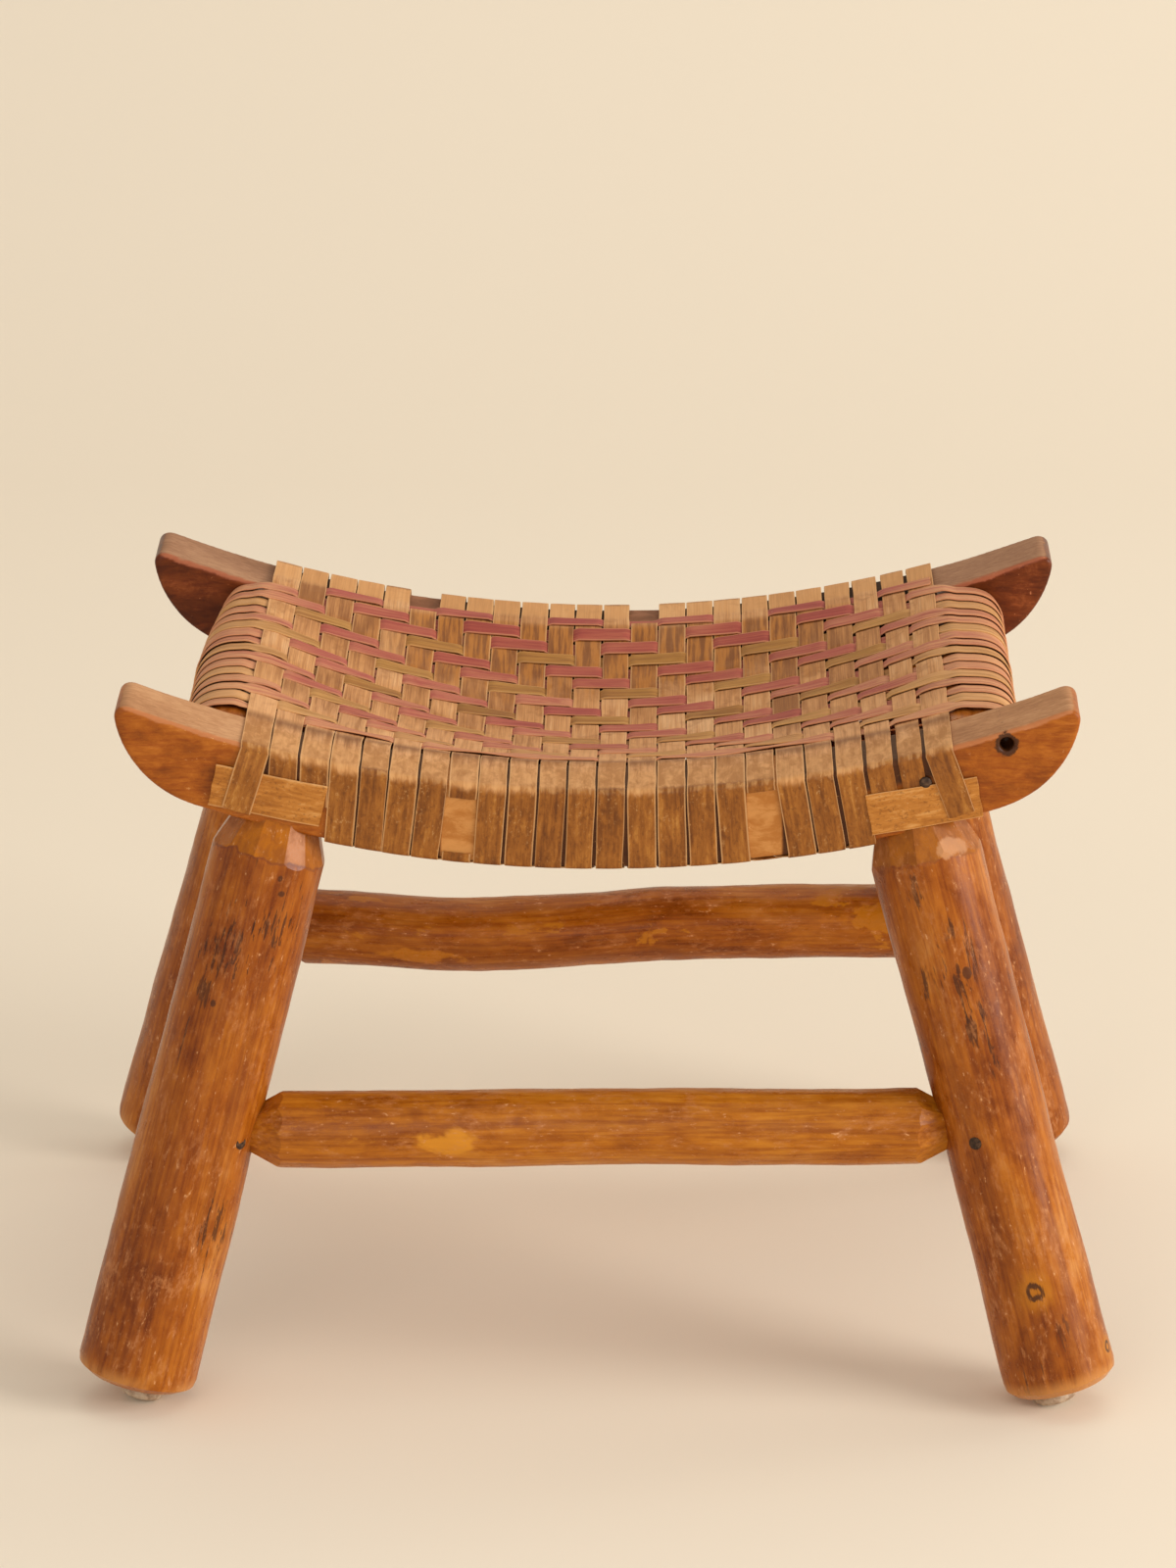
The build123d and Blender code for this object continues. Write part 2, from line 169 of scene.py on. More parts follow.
def colourRamp(tree, value, stops):
    made = tree.nodes.new("ShaderNodeValToRGB")
    feed(tree, made.inputs[0], value)
    band = made.color_ramp
    while len(band.elements) < len(stops):
        band.elements.new(1)
    for element, (place, colour) in zip(band.elements, stops):
        element.position = place
        element.color = colour
    return made.outputs[0]


def splitUp(tree, vector):
    made = tree.nodes.new("ShaderNodeSeparateXYZ")
    feed(tree, made.inputs[0], vector)
    return made.outputs[0], made.outputs[1], made.outputs[2]


def joinUp(tree, x, y, z):
    made = tree.nodes.new("ShaderNodeCombineXYZ")
    for socket, term in zip(made.inputs, (x, y, z)):
        feed(tree, socket, term)
    return made.outputs[0]


def objectPlace(tree):
    return tree.nodes.new("ShaderNodeTexCoord").outputs["Object"]


def startMaterial(name):
    made = bpy.data.materials.new(name)
    made.use_nodes = True
    shader = made.node_tree.nodes["Principled BSDF"]
    return made, made.node_tree, shader


def bumpUp(tree, shader, height, strength, distance):
    made = tree.nodes.new("ShaderNodeBump")
    made.inputs["Strength"].default_value = strength
    made.inputs["Distance"].default_value = distance
    feed(tree, made.inputs["Height"], height)
    tree.links.new(made.outputs[0], shader.inputs["Normal"])


def dress(piece, material, slot, *nodes):
    piece.data.materials.clear()
    piece.data.materials.append(material)
    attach(piece, "root")
    if nodes:
        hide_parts(*nodes)


# Camera and stage

view = {"place": (0.0395, -3.4088, 1.460), "tilt": 71.113, "turn": 0.78, "lens": 148.34}

clearSelection()
bpy.ops.object.camera_add(
    location=view["place"], rotation=(math.radians(view["tilt"]), 0, math.radians(view["turn"]))
)
camera = bpy.context.object
camera.data.lens = view["lens"]
camera.data.sensor_width = 36
camera.data.clip_end = 30
bpy.context.scene.camera = camera

studio = {
    "floorColour": (243, 229, 207),
    "bendSteps": 16,
    "floorWidth": 9,
    "floorFront": -4.5,
    "bendStart": 1.6,
    "bendRadius": 2.2,
    "wallHeight": 4.0,
    "lampColour": (1, 0.985, 0.96),
    "airColour": (1, 0.975, 0.945, 1),
    "airStrength": 0.575,
}

clearSelection()
bpy.ops.mesh.primitive_plane_add(size=1)
backdrop = bpy.context.object
backdrop.name = "backdrop"
backdropProfile = [(studio["floorFront"], 0), (studio["bendStart"], 0)]
for step in range(1, studio["bendSteps"] + 1):
    angle = math.pi / 2 * step / studio["bendSteps"]
    backdropProfile.append(
        (
            studio["bendStart"] + studio["bendRadius"] * math.sin(angle),
            studio["bendRadius"] * (1 - math.cos(angle)),
        )
    )
backdropProfile.append((studio["bendStart"] + studio["bendRadius"], studio["wallHeight"]))
bpy.ops.object.mode_set(mode="EDIT")
bpy.ops.mesh.select_all(action="DESELECT")
sheetMesh = bmesh.from_edit_mesh(backdrop.data)
for vertex in sheetMesh.verts:
    side = 1 if vertex.co.x > 0 else -1
    row = 0 if vertex.co.y < 0 else 1
    vertex.co = (side * studio["floorWidth"] / 2, *backdropProfile[row])
for edge in sheetMesh.edges:
    edge.select = all(v.co.y > 0 for v in edge.verts)
sheetMesh.select_flush(True)
bmesh.update_edit_mesh(backdrop.data)
for before, after in zip(backdropProfile[1:], backdropProfile[2:]):
    bpy.ops.mesh.extrude_region_move(
        TRANSFORM_OT_translate={"value": (0, after[0] - before[0], after[1] - before[1])}
    )
bpy.ops.object.mode_set(mode="OBJECT")
smoothShade(backdrop, 40)
paper, tree, shader = startMaterial("seamlessPaper")
shader.inputs["Base Color"].default_value = srgb(*studio["floorColour"])
shader.inputs["Roughness"].default_value = 0.9
shader.inputs["Specular IOR Level"].default_value = 0.1
backdrop.data.materials.append(paper)

lamps = {
    "key": {"place": (4.9, -2.15, 2.1), "aim": (0, 0, 0.2), "size": 3.0, "power": 225},
    "fill": {"place": (-1.2, -3.7, 1.9), "aim": (0, 0, 0.25), "size": 2.6, "power": 24},
    "top": {"place": (0.4, 0.7, 3.0), "aim": (0, 0.2, 0), "size": 2.8, "power": 10},
    "rim": {"place": (3.3, 1.2, 1.2), "aim": (0, 0, 0.2), "size": 1.2, "power": 12},
}
for name, lamp in lamps.items():
    clearSelection()
    bpy.ops.object.light_add(type="AREA", location=lamp["place"])
    light = bpy.context.object
    light.name = name + "Lamp"
    light.data.shape = "DISK"
    light.data.size = lamp["size"]
    light.data.energy = lamp["power"]
    light.data.color = studio["lampColour"]
    aim = Vector(lamp["aim"]) - Vector(lamp["place"])
    light.rotation_euler = aim.to_track_quat("-Z", "Y").to_euler()

world = bpy.data.worlds.new("studioAir")
bpy.context.scene.world = world
world.use_nodes = True
air = world.node_tree.nodes["Background"]
air.inputs["Color"].default_value = studio["airColour"]
air.inputs["Strength"].default_value = studio["airStrength"]
bpy.context.scene.view_settings.view_transform = "Standard"
print("stage ready")

# Lines of the stool that every piece keeps to, in metres

stool = {
    "radius": 0.692,
    "top": 0.345,
    "underside": 0.3018,
    "railMiddle": 0.140,
    "inner": 0.1175,
    "outer": 0.1625,
    "warpPitch": 0.0158,
    "warps": 24,
    "wefts": 17,
    "weftPitch": 0.0139,
    "weftOnRail": 0.126,
    "firstLoop": 0.109,
    "sag": 0.0153,
    "sagReach": 0.1817,
    "sideSag": 0.0007,
    "rearLift": 0.0022,
    "gap": 0.0002,
    "barX": 0.2015,
    "barZ": 0.3505,
}


def saddle(x, middle):
    return middle + stool["radius"] - math.sqrt(stool["radius"] ** 2 - x * x)


def warpX(index):
    return (index - (stool["warps"] - 1) / 2) * stool["warpPitch"]


def seatHeight(x, y):
    level = saddle(x, stool["top"]) + stool["gap"]
    lift = stool["rearLift"] * min(1, max(0, (y + stool["inner"]) / (2 * stool["inner"])))
    if abs(y) > stool["inner"]:
        return level + lift
    sag = stool["sag"] * max(0, 1 - (x / stool["sagReach"]) ** 2)
    return level + lift - (sag + stool["sideSag"]) * (1 - (y / stool["inner"]) ** 2)


def weftY(row):
    if row == 1:
        return stool["weftOnRail"]
    return stool["firstLoop"] - stool["weftPitch"] * (row - 2)


def isOver(index, row):
    # whether a weft passes over a warp; the last row has an order of its own
    if row == stool["wefts"]:
        return index not in (0, 1, 5, 12, 13, 20, 21)
    return (index - row - 1) % 4 < 2


# Wood of the logs: bare shaved ends, varnish with long dark streaks, knots

def addMark(tree, place, mark, shown, scratch, patch, look):
    # a streak, a rubbed patch or a knot, by place along the log and turn round it
    turned = math.radians(mark["turn"])
    centre = (mark["radius"] * math.cos(turned), mark["radius"] * math.sin(turned), mark["along"])
    gap = tree.nodes.new("ShaderNodeVectorMath")
    gap.operation = "SUBTRACT"
    tree.links.new(place, gap.inputs[0])
    gap.inputs[1].default_value = centre
    scaled = stretch(tree, gap.outputs[0], (1 / mark["width"], 1 / mark["width"], 1 / mark["length"]))
    length = tree.nodes.new("ShaderNodeVectorMath")
    length.operation = "LENGTH"
    tree.links.new(scaled, length.inputs[0])
    wobble = spread(tree, patch, mark.get("wobble", 1.8))
    if mark.get("ragged"):
        wobble = times(tree, minus(tree, scratch, 0.40), mark["ragged"])
    reach = plus(tree, length.outputs["Value"], wobble)
    if mark.get("ring"):
        shown = blendColour(tree, remap(tree, reach, 1.0, 2.6, 0.7, 0), shown, look["rubbed"])
        fromRing = unsigned(tree, minus(tree, reach, 0.72))
        return blendColour(tree, remap(tree, fromRing, 0.16, 0.36, 0.9, 0), shown, srgb(64, 32, 16))
    inside = remap(tree, reach, 0.72, 1.0, mark.get("strength", 0.75), 0)
    return blendColour(tree, inside, shown, mark.get("colour", srgb(60, 30, 16)))


def logMaterial(name, look):
    made, tree, shader = startMaterial(name)
    local = tree.nodes.new("ShaderNodeAttribute")
    local.attribute_name = "grain"
    place = local.outputs["Vector"]
    seed = look["seed"]
    along = splitUp(tree, place)[2]
    fibre = cloud(tree, stretch(tree, place, (1, 1, 0.045), (seed, 0, seed * 2)), 420, 5, 0.65, 0.3)
    blotch = cloud(tree, stretch(tree, place, (1, 1, 0.35), (seed * 3, seed, 0)), 26, 4, 0.6, 0.6)
    mottle = cloud(tree, stretch(tree, place, (1, 1, 0.55), (0, seed, seed)), 120, 5, 0.62, 0.2)
    speck = cloud(tree, stretch(tree, place, (1, 1, 0.4), (seed, seed, 0)), 420, 4, 0.7)
    scratch = cloud(tree, stretch(tree, place, (1, 1, 0.13), (seed, 0, seed)), 480, 3, 0.65, 0.3)
    base = colourRamp(
        tree,
        mixUp(tree, (mottle, 0.38), (blotch, 0.62)),
        [(0.36, look["dark"]), (0.47, look["middle"]), (0.58, look["light"]), (0.70, look["pale"])],
    )
    bands = cloud(tree, stretch(tree, place, (1, 1, 0.07), (seed, seed * 2, seed)), 75, 3, 0.6, 0.2)
    base = blendColour(tree, remap(tree, bands, 0.50, 0.62, 0, look["bandShare"]), base, look["band"])
    grained = blendColour(
        tree, remap(tree, fibre, 0.35, 0.7, 0.0, look["grainShare"]), base, look["grainColour"], "MULTIPLY"
    )
    # patches where the varnish is rubbed down to yellow wood
    patch = cloud(tree, stretch(tree, place, (1, 1, 0.5), (seed * 5, 0, seed)), 34, 5, 0.6, 0.4)
    rubbed = remap(tree, patch, look["rubbedFrom"], look["rubbedFrom"] + 0.03, 0, 0.85)
    shown = blendColour(tree, rubbed, grained, look["rubbed"])
    # long dark streaks
    streak = cloud(tree, stretch(tree, place, (1, 1, 0.085), (seed, seed * 2, 0)), 210, 4, 0.7, 0.4)
    where = cloud(tree, stretch(tree, place, (1, 1, 0.5), (0, seed * 4, seed)), 16, 2, 0.5)
    streaks = times(
        tree,
        remap(tree, streak, 0.60, 0.66),
        remap(tree, where, look["streakFrom"], look["streakFrom"] + 0.05),
    )
    shown = blendColour(tree, times(tree, streaks, 0.8), shown, srgb(66, 32, 16))
    for mark in look["marks"]:
        if not mark.get("late"):
            shown = addMark(tree, place, mark, shown, scratch, patch, look)
    # the shaved top is bare and lighter, down to a wavy line
    wave = spread(tree, blotch, look["shavedWave"])
    above = minus(tree, plus(tree, along, wave), look["shavedTop"])
    shaved = remap(tree, above, 0.0, 0.0006)
    fresh = blendColour(
        tree, remap(tree, mottle, 0.38, 0.62, 0, 0.8), look["shavedColour"], look["shavedDark"]
    )
    shown = blendColour(tree, shaved, shown, fresh)
    rim = remap(tree, unsigned(tree, above), 0.0002, 0.0012, look["rimShare"], 0)
    shown = blendColour(tree, rim, shown, srgb(110, 52, 26))
    # marks drawn after the shaving, such as the painted highlight on the front right leg's cap
    for mark in look["marks"]:
        if mark.get("late"):
            shown = addMark(tree, place, mark, shown, scratch, patch, look)
    # the foot's rim is worn pale
    footRim = remap(tree, along, 0.003, 0.012, look["footWear"], 0)
    worn = times(tree, footRim, remap(tree, patch, 0.42, 0.56))
    shown = blendColour(tree, worn, shown, srgb(204, 140, 74))
    # dull haze, more of it near the foot, and fine pale scuffs over everything
    haze = cloud(tree, stretch(tree, place, (1, 1, 0.55), (seed * 2, seed, seed * 3)), 70, 8, 0.78, 0.5)
    dull = mixUp(tree, (haze, 0.6), (speck, 0.4))
    low = remap(tree, along, 0.06, 0.15, 0.5 + 0.25 * look["footWear"], 0.5 - 0.1 * look["footWear"])
    dulled = times(tree, remap(tree, dull, 0.50, 0.62), low)
    shown = blendColour(tree, dulled, shown, srgb(190, 122, 70))
    scuff = remap(tree, speck, 0.63, 0.73, 0, look["scuffShare"])
    shown = blendColour(tree, scuff, shown, look["scuff"])
    feed(tree, shader.inputs["Base Color"], shown)
    gloss = remap(tree, mottle, 0.35, 0.7, look["gloss"][0], look["gloss"][1])
    feed(tree, shader.inputs["Roughness"], gloss)
    shader.inputs["Specular IOR Level"].default_value = 0.24
    height = minus(tree, times(tree, mottle, 0.6), times(tree, streaks, 0.5))
    height = plus(tree, times(tree, fibre, 0.35), height)
    bumpUp(tree, shader, height, 0.35, 0.0006)
    return made


# Logs: a rough round pole, shaved flats at its ends, then put in its place

logNoise = {"round": 0.03, "unevenSize": 0.022, "fineSize": 0.006}


def makeLog(name, log, matrix):
    clearSelection()
    length = log["length"]
    bpy.ops.mesh.primitive_cylinder_add(
        vertices=log["sides"], radius=log["radius"], depth=length, location=(0, 0, length / 2)
    )
    piece = bpy.context.object
    piece.name = name
    bpy.ops.object.transform_apply(location=True)
    bpy.ops.object.mode_set(mode="EDIT")
    bpy.ops.mesh.select_all(action="DESELECT")
    mesh = bmesh.from_edit_mesh(piece.data)
    for edge in mesh.edges:
        edge.select = abs(edge.verts[0].co.z - edge.verts[1].co.z) > length / 2
    bmesh.update_edit_mesh(piece.data)
    bpy.ops.mesh.subdivide(number_cuts=log["rings"])
    mesh = bmesh.from_edit_mesh(piece.data)
    for vertex in mesh.verts:
        along = vertex.co.z
        turned = math.atan2(vertex.co.y, vertex.co.x)
        radius = log["profile"](along, turned)
        direction = Vector((math.cos(turned), math.sin(turned), 0))
        x = direction.x * logNoise["round"]
        y = direction.y * logNoise["round"]
        uneven = log["uneven"] * rough((x, y, along * 0.45), logNoise["unevenSize"], log["seed"])
        fine = log["fine"] * rough((x, y, along * 0.6), logNoise["fineSize"], log["seed"])
        vertex.co = direction * (radius + uneven + fine) + Vector((0, 0, along))
    bmesh.update_edit_mesh(piece.data)
    for flat in log["flats"]:
        bpy.ops.mesh.select_all(action="SELECT")
        bpy.ops.mesh.bisect(plane_co=flat[0], plane_no=flat[1], use_fill=True, clear_outer=True)
    bpy.ops.object.mode_set(mode="OBJECT")
    data = piece.data
    grain = data.attributes.new("grain", "FLOAT_VECTOR", "POINT")
    for vertex, value in zip(data.vertices, grain.data):
        value.vector = vertex.co
    for vertex in data.vertices:
        vertex.co += log["bend"](vertex.co.z)
    data.transform(matrix)
    smoothShade(piece, log["shadeAngle"])
    return piece


shaving = {"turn": 0.18, "depth": 0.0007, "run": (0.9, 1.12)}


def shavedFlats(start, end, radius, neck, count, seed, inwards):
    chance = random.Random(seed)
    flats = []
    for index in range(count):
        angle = 2 * math.pi * (index + chance.uniform(-shaving["turn"], shaving["turn"])) / count
        out = Vector((math.cos(angle), math.sin(angle), 0))
        cut = radius - chance.uniform(0, shaving["depth"])
        run = abs(end - start) * chance.uniform(*shaving["run"])
        normal = (out * run + Vector((0, 0, inwards * (radius - neck)))).normalized()
        flats.append((out * cut + Vector((0, 0, start)), normal))
    return flats


print("helpers ready")


# Legs: splayed logs on worn glides, their tops shaved bare

legShape = {
    "sides": 72,
    "rings": 90,
    "uneven": 0.0008,
    "fine": 0.0002,
    "shadeAngle": 13,
    "railSink": 0.006,
    "neck": 0.0232,
    "shaveLength": 0.021,
    "shaveFlats": 12,
    "shaveOutset": 0.0004,
    "faceRadius": 0.0265,
    "bevelHeight": 0.0045,
    "evenLength": 0.038,  # at the top, where the log stops widening
    "footY": 0.183,
    "glideInset": 0.0175,
    "glideHeight": 0.010,
    "glideWear": 0.0015,
    "bareLength": 0.020,
}


def straight(along):
    return Vector((0, 0, 0))


orangeLog = {
    "dark": srgb(128, 60, 8),
    "middle": srgb(160, 84, 14),
    "light": srgb(178, 102, 24),
    "pale": srgb(204, 136, 66),
    "band": srgb(112, 52, 14),
    "bandShare": 0.24,
    "grainColour": srgb(172, 124, 84),
    "grainShare": 0.6,
    "rubbed": srgb(184, 112, 20),
    "rubbedFrom": 0.75,
    "streakFrom": 0.66,
    "footWear": 0.0,
    "shavedColour": srgb(176, 100, 8),
    "shavedDark": srgb(144, 76, 8),
    "shavedTop": 1.0,  # past the end of a log that has no bare top
    "shavedWave": 0.02,
    "rimShare": 0.5,
    "scuff": srgb(220, 160, 106),
    "scuffShare": 0.8,
    "gloss": (0.26, 0.46),
    "marks": [],
}


def spot(along, turn, width, length, **more):
    # a mark by its place along the log and its turn round it, in degrees
    return {"along": along, "turn": turn, "width": width, "length": length, "radius": 0.0305, **more}


def bareSpot(along, turn, width, length, wobble, colour, strength):
    return spot(along, turn, width, length, wobble=wobble, colour=srgb(*colour), strength=strength)


legs = {
    "front_left_leg": {
        "side": -1,
        "end": -1,
        "footX": 0.255,
        "topX": 0.171,
        "radii": (0.0330, 0.0318, 0.0306),
        "look": {
            "seed": 1.3,
            "marks": [
                spot(0.296, 80, 0.0022, 0.003),
                spot(0.288, 85, 0.0032, 0.003),
                spot(0.268, 90, 0.013, 0.019, ragged=6.5),
                spot(0.252, 42, 0.013, 0.024, ragged=7.5),
                spot(0.226, 33, 0.0062, 0.012, ragged=2.4, strength=0.7),
                spot(0.221, 46, 0.0024, 0.003),
                spot(0.094, 104, 0.011, 0.024, ragged=7.0, strength=0.75),
                spot(0.090, 151, 0.010, 0.020, ragged=7.0, strength=0.6),
            ],
        },
    },
    "front_right_leg": {
        "side": 1,
        "end": -1,
        "footX": 0.257,
        "topX": 0.171,
        "radii": (0.0308, 0.0290, 0.0300),
        "look": {
            "seed": 2.7,
            "middle": srgb(162, 86, 14),
            "light": srgb(184, 106, 26),
            "shavedColour": srgb(168, 96, 12),
            "shavedDark": srgb(136, 72, 10),
            "rimShare": 0.2,
            "marks": [
                spot(0.290, -83, 0.0042, 0.013, ragged=3.6, strength=0.7),
                spot(0.266, -57, 0.0032, 0.011, ragged=2.6),
                spot(0.232, -61, 0.0056, 0.020, ragged=4.4),
                spot(0.209, -60, 0.0052, 0.012, ragged=2.6),
                spot(0.241, -51, 0.003, 0.004),
                spot(0.219, -45, 0.0034, 0.010, ragged=3.6),
                spot(0.196, -46, 0.0042, 0.018, ragged=5.0),
                spot(0.241, -98, 0.0040, 0.011, ragged=3.0, strength=0.75),
                spot(0.061, -65, 0.0056, 0.0062, ring=True, ragged=1.5),
                spot(0.016, 9, 0.0034, 0.0034, ring=True),
                spot(0.034, -50, 0.007, 0.018, ragged=6.0, strength=0.5),
                # a painted highlight: a pale soft spot on a facet of the shaved cap, drawn after the shaving
                {**bareSpot(0.309, -28, 0.012, 0.0066, 3.4, (214, 158, 112), 0.5), "late": True},
            ],
        },
    },
    "rear_left_leg": {
        "side": -1,
        "end": 1,
        "footX": 0.2635,
        "topX": 0.175,
        "radii": (0.0318, 0.0313, 0.0306),
        "look": {"seed": 4.1},
    },
    "rear_right_leg": {
        "side": 1,
        "end": 1,
        "footX": 0.2535,
        "topX": 0.169,
        "radii": (0.0303, 0.0290, 0.0300),
        "look": {"seed": 5.9},
    },
}


def legLine(leg):
    foot = Vector((leg["side"] * leg["footX"], leg["end"] * legShape["footY"], 0))
    rise = saddle(leg["topX"], stool["underside"])
    return foot, Vector((leg["side"] * leg["topX"], leg["end"] * stool["railMiddle"], rise))


def legProfile(length, radii):
    footRadius, waistRadius, topRadius = radii

    def profile(along, turned):
        if along < legShape["bevelHeight"]:
            share = along / legShape["bevelHeight"]
            return legShape["faceRadius"] + (footRadius - legShape["faceRadius"]) * share**0.6
        run = length - legShape["evenLength"] - legShape["bevelHeight"]
        share = (along - legShape["bevelHeight"]) / run
        if share < 0.5:
            return footRadius + (waistRadius - footRadius) * share * 2
        return waistRadius + (topRadius - waistRadius) * min(1, share * 2 - 1)

    return profile


for name, leg in legs.items():
    foot, top = legLine(leg)
    axis = (top - foot).normalized()
    lean = math.hypot(axis.x, axis.y)
    # the sawn foot stands on its glide, which is worn flat on the floor
    faceHeight = legShape["glideInset"] * lean + legShape["glideHeight"] * axis.z - legShape["glideWear"]
    start = foot + axis * (faceHeight / axis.z)
    length = (top - start).length
    outward = Vector((-axis.x, -axis.y, 0)).normalized()
    sideways = axis.cross(outward).normalized()
    outward = sideways.cross(axis)
    log = {
        **legShape,
        "length": length + legShape["railSink"],
        "radius": leg["radii"][0],
        "profile": legProfile(length, leg["radii"]),
        "seed": leg["look"]["seed"],
        "bend": straight,
    }
    log["flats"] = shavedFlats(
        length - legShape["shaveLength"],
        length,
        leg["radii"][2] + legShape["shaveOutset"],
        legShape["neck"],
        legShape["shaveFlats"],
        leg["look"]["seed"],
        1,
    )
    matrix = Matrix((outward, sideways, axis)).transposed().to_4x4()
    matrix.translation = start
    piece = makeLog(name.replace("_leg", "_leg_log"), log, matrix)
    look = {**orangeLog, "shavedTop": length - legShape["bareLength"], "footWear": 0.7, **leg["look"]}
    dress(piece, logMaterial(name + "_wood", look), "log_wood", name)
print("legs ready")


# Stretchers: the front one is nearly straight, the rear one crooked

stretcherShape = {
    "sides": 64,
    "rings": 110,
    "uneven": 0.0009,
    "fine": 0.00025,
    "shadeAngle": 13,
    "shaveStart": 0.025,
    "shaveEnd": 0.009,
    "shaveFlats": 10,
    "shaveOutset": 0.0003,
    "neck": 0.0125,
    "sink": 0.011,
}

stretchers = {
    "front_stretcher": {
        "end": -1,
        "radius": 0.0207,
        "legs": ("front_left_leg", "front_right_leg"),
        "line": [
            (-0.22, 0.1513),
            (-0.15, 0.1512),
            (-0.08, 0.1522),
            (0.0, 0.1536),
            (0.08, 0.1538),
            (0.15, 0.1546),
            (0.22, 0.1552),
        ],
        "look": {
            "seed": 7.7,
            "dark": srgb(158, 86, 14),
            "middle": srgb(184, 108, 20),
            "light": srgb(198, 124, 32),
            "pale": srgb(214, 150, 76),
            "band": srgb(150, 82, 18),
            "rubbedFrom": 0.62,
            "streakFrom": 0.95,
            "marks": [
                bareSpot(0.119, 6, 0.013, 0.024, 4.0, (214, 140, 36), 0.8),
                bareSpot(0.222, 24, 0.007, 0.012, 2.4, (214, 140, 36), 0.75),
                bareSpot(0.331, 36, 0.007, 0.013, 2.4, (214, 140, 36), 0.75),
                bareSpot(0.189, -28, 0.007, 0.022, 4.0, (206, 132, 36), 0.65),
                bareSpot(0.240, 66, 0.006, 0.022, 2.4, (206, 132, 36), 0.6),
                bareSpot(0.345, 66, 0.005, 0.014, 2.4, (206, 132, 36), 0.6),
                spot(0.130, 30, 0.0016, 0.0016, strength=0.9),
                spot(0.144, 13, 0.0013, 0.0013, strength=1.0),
            ],
        },
    },
    "rear_stretcher": {
        "end": 1,
        "radius": 0.0217,
        "legs": ("rear_left_leg", "rear_right_leg"),
        "line": [
            (-0.22, 0.151),
            (-0.164, 0.1483),
            (-0.088, 0.1444),
            (-0.040, 0.1457),
            (0.007, 0.1492),
            (0.033, 0.1518),
            (0.104, 0.1532),
            (0.165, 0.1534),
            (0.22, 0.152),
        ],
        "look": {
            "seed": 9.2,
            "dark": srgb(132, 66, 10),
            "middle": srgb(162, 88, 14),
            "light": srgb(180, 106, 26),
            "pale": srgb(200, 132, 60),
            "rubbedFrom": 0.6,
            "streakFrom": 0.95,
            "marks": [
                bareSpot(0.100, -22, 0.011, 0.036, 4.0, (196, 120, 26), 0.7),
                bareSpot(0.240, 22, 0.010, 0.020, 4.0, (190, 112, 22), 0.6),
                spot(0.131, -40, 0.0034, 0.0034, ring=True),
                bareSpot(0.346, 22, 0.013, 0.020, 4.0, (190, 112, 22), 0.55),
                spot(0.346, 14, 0.0044, 0.0044, ring=True),
            ],
        },
    },
}


def legCentre(leg, height):
    foot, top = legLine(leg)
    share = height / top.z
    return foot + (top - foot) * share


def heightAt(points, x):
    # a smooth line through the given places
    for index in range(1, len(points)):
        if x <= points[index][0] or index == len(points) - 1:
            before = points[max(0, index - 2)][1]
            low = points[index - 1]
            high = points[index]
            after = points[min(len(points) - 1, index + 1)][1]
            share = min(1, max(0, (x - low[0]) / (high[0] - low[0])))
            a = 2 * low[1]
            b = high[1] - before
            c = 2 * before - 5 * low[1] + 4 * high[1] - after
            d = 3 * low[1] - before - 3 * high[1] + after
            return 0.5 * (a + b * share + c * share**2 + d * share**3)


for name, stretcher in stretchers.items():
    line = stretcher["line"]
    leftLeg, rightLeg = (legs[key] for key in stretcher["legs"])
    left = legCentre(leftLeg, line[0][1])
    right = legCentre(rightLeg, line[-1][1])
    start = left + Vector((leftLeg["radii"][1] - stretcherShape["sink"], 0, 0))
    end = right - Vector((rightLeg["radii"][1] - stretcherShape["sink"], 0, 0))
    length = end.x - start.x
    shaveStart, shaveEnd = stretcherShape["shaveStart"], stretcherShape["shaveEnd"]
    level = start.z

    def barProfile(along, turned, radius=stretcher["radius"]):
        return radius

    def barBend(along, startX=start.x, line=line, level=level):
        return Vector((0, heightAt(line, startX + along) - level, 0))

    seed = stretcher["look"]["seed"]
    widest = stretcher["radius"] + stretcherShape["shaveOutset"]
    size = (widest, stretcherShape["neck"], stretcherShape["shaveFlats"])
    log = {
        **stretcherShape,
        "length": length,
        "radius": stretcher["radius"],
        "profile": barProfile,
        "bend": barBend,
        "seed": seed,
        "flats": shavedFlats(shaveStart, shaveEnd, *size, seed, -1)
        + shavedFlats(length - shaveStart, length - shaveEnd, *size, seed + 1, 1),
    }
    matrix = Matrix(((0, 0, 1), (-1, 0, 0), (0, 1, 0))).to_4x4()
    matrix.translation = start
    piece = makeLog(name + "_log", log, matrix)
    look = {**orangeLog, **stretcher["look"]}
    dress(piece, logMaterial(name + "_wood", look), "log_wood", name)


# Side bars and the shape of the wraps round them, by side: squared-off rounds

barShape = {
    "sides": 48,
    "rings": 40,
    "uneven": 0.0006,
    "fine": 0.0001,
    "shadeAngle": 30,
    "length": 0.236,
    "radius": 0.0215,
    "underWefts": 0.0016,
    "innerReach": 0.0225,
    "rightReach": 0.0255,
    "backNarrowing": 0.007,  # of the left wrap, from just behind the middle on
}


def leftReach(y):
    return barShape["innerReach"] - barShape["backNarrowing"] * max(0, (y - 0.02) / 0.09) ** 1.5


def rightReach(y):
    return barShape["rightReach"]


wrap = {
    -1: {"reach": leftReach, "rise": 0.0232, "squareness": 2.25},
    1: {"reach": rightReach, "rise": 0.0232, "squareness": 2.9},
}


def wrapPoint(side, y, angle, outset=0):
    shape = wrap[side]
    power = 2 / shape["squareness"]
    across = math.cos(angle)
    upward = math.sin(angle)
    reach = shape["reach"](y) if across > 0 else barShape["innerReach"]
    x = (reach + outset) * math.copysign(abs(across) ** power, across)
    z = (shape["rise"] + outset) * math.copysign(abs(upward) ** power, upward)
    return side * (stool["barX"] + x), stool["barZ"] + z


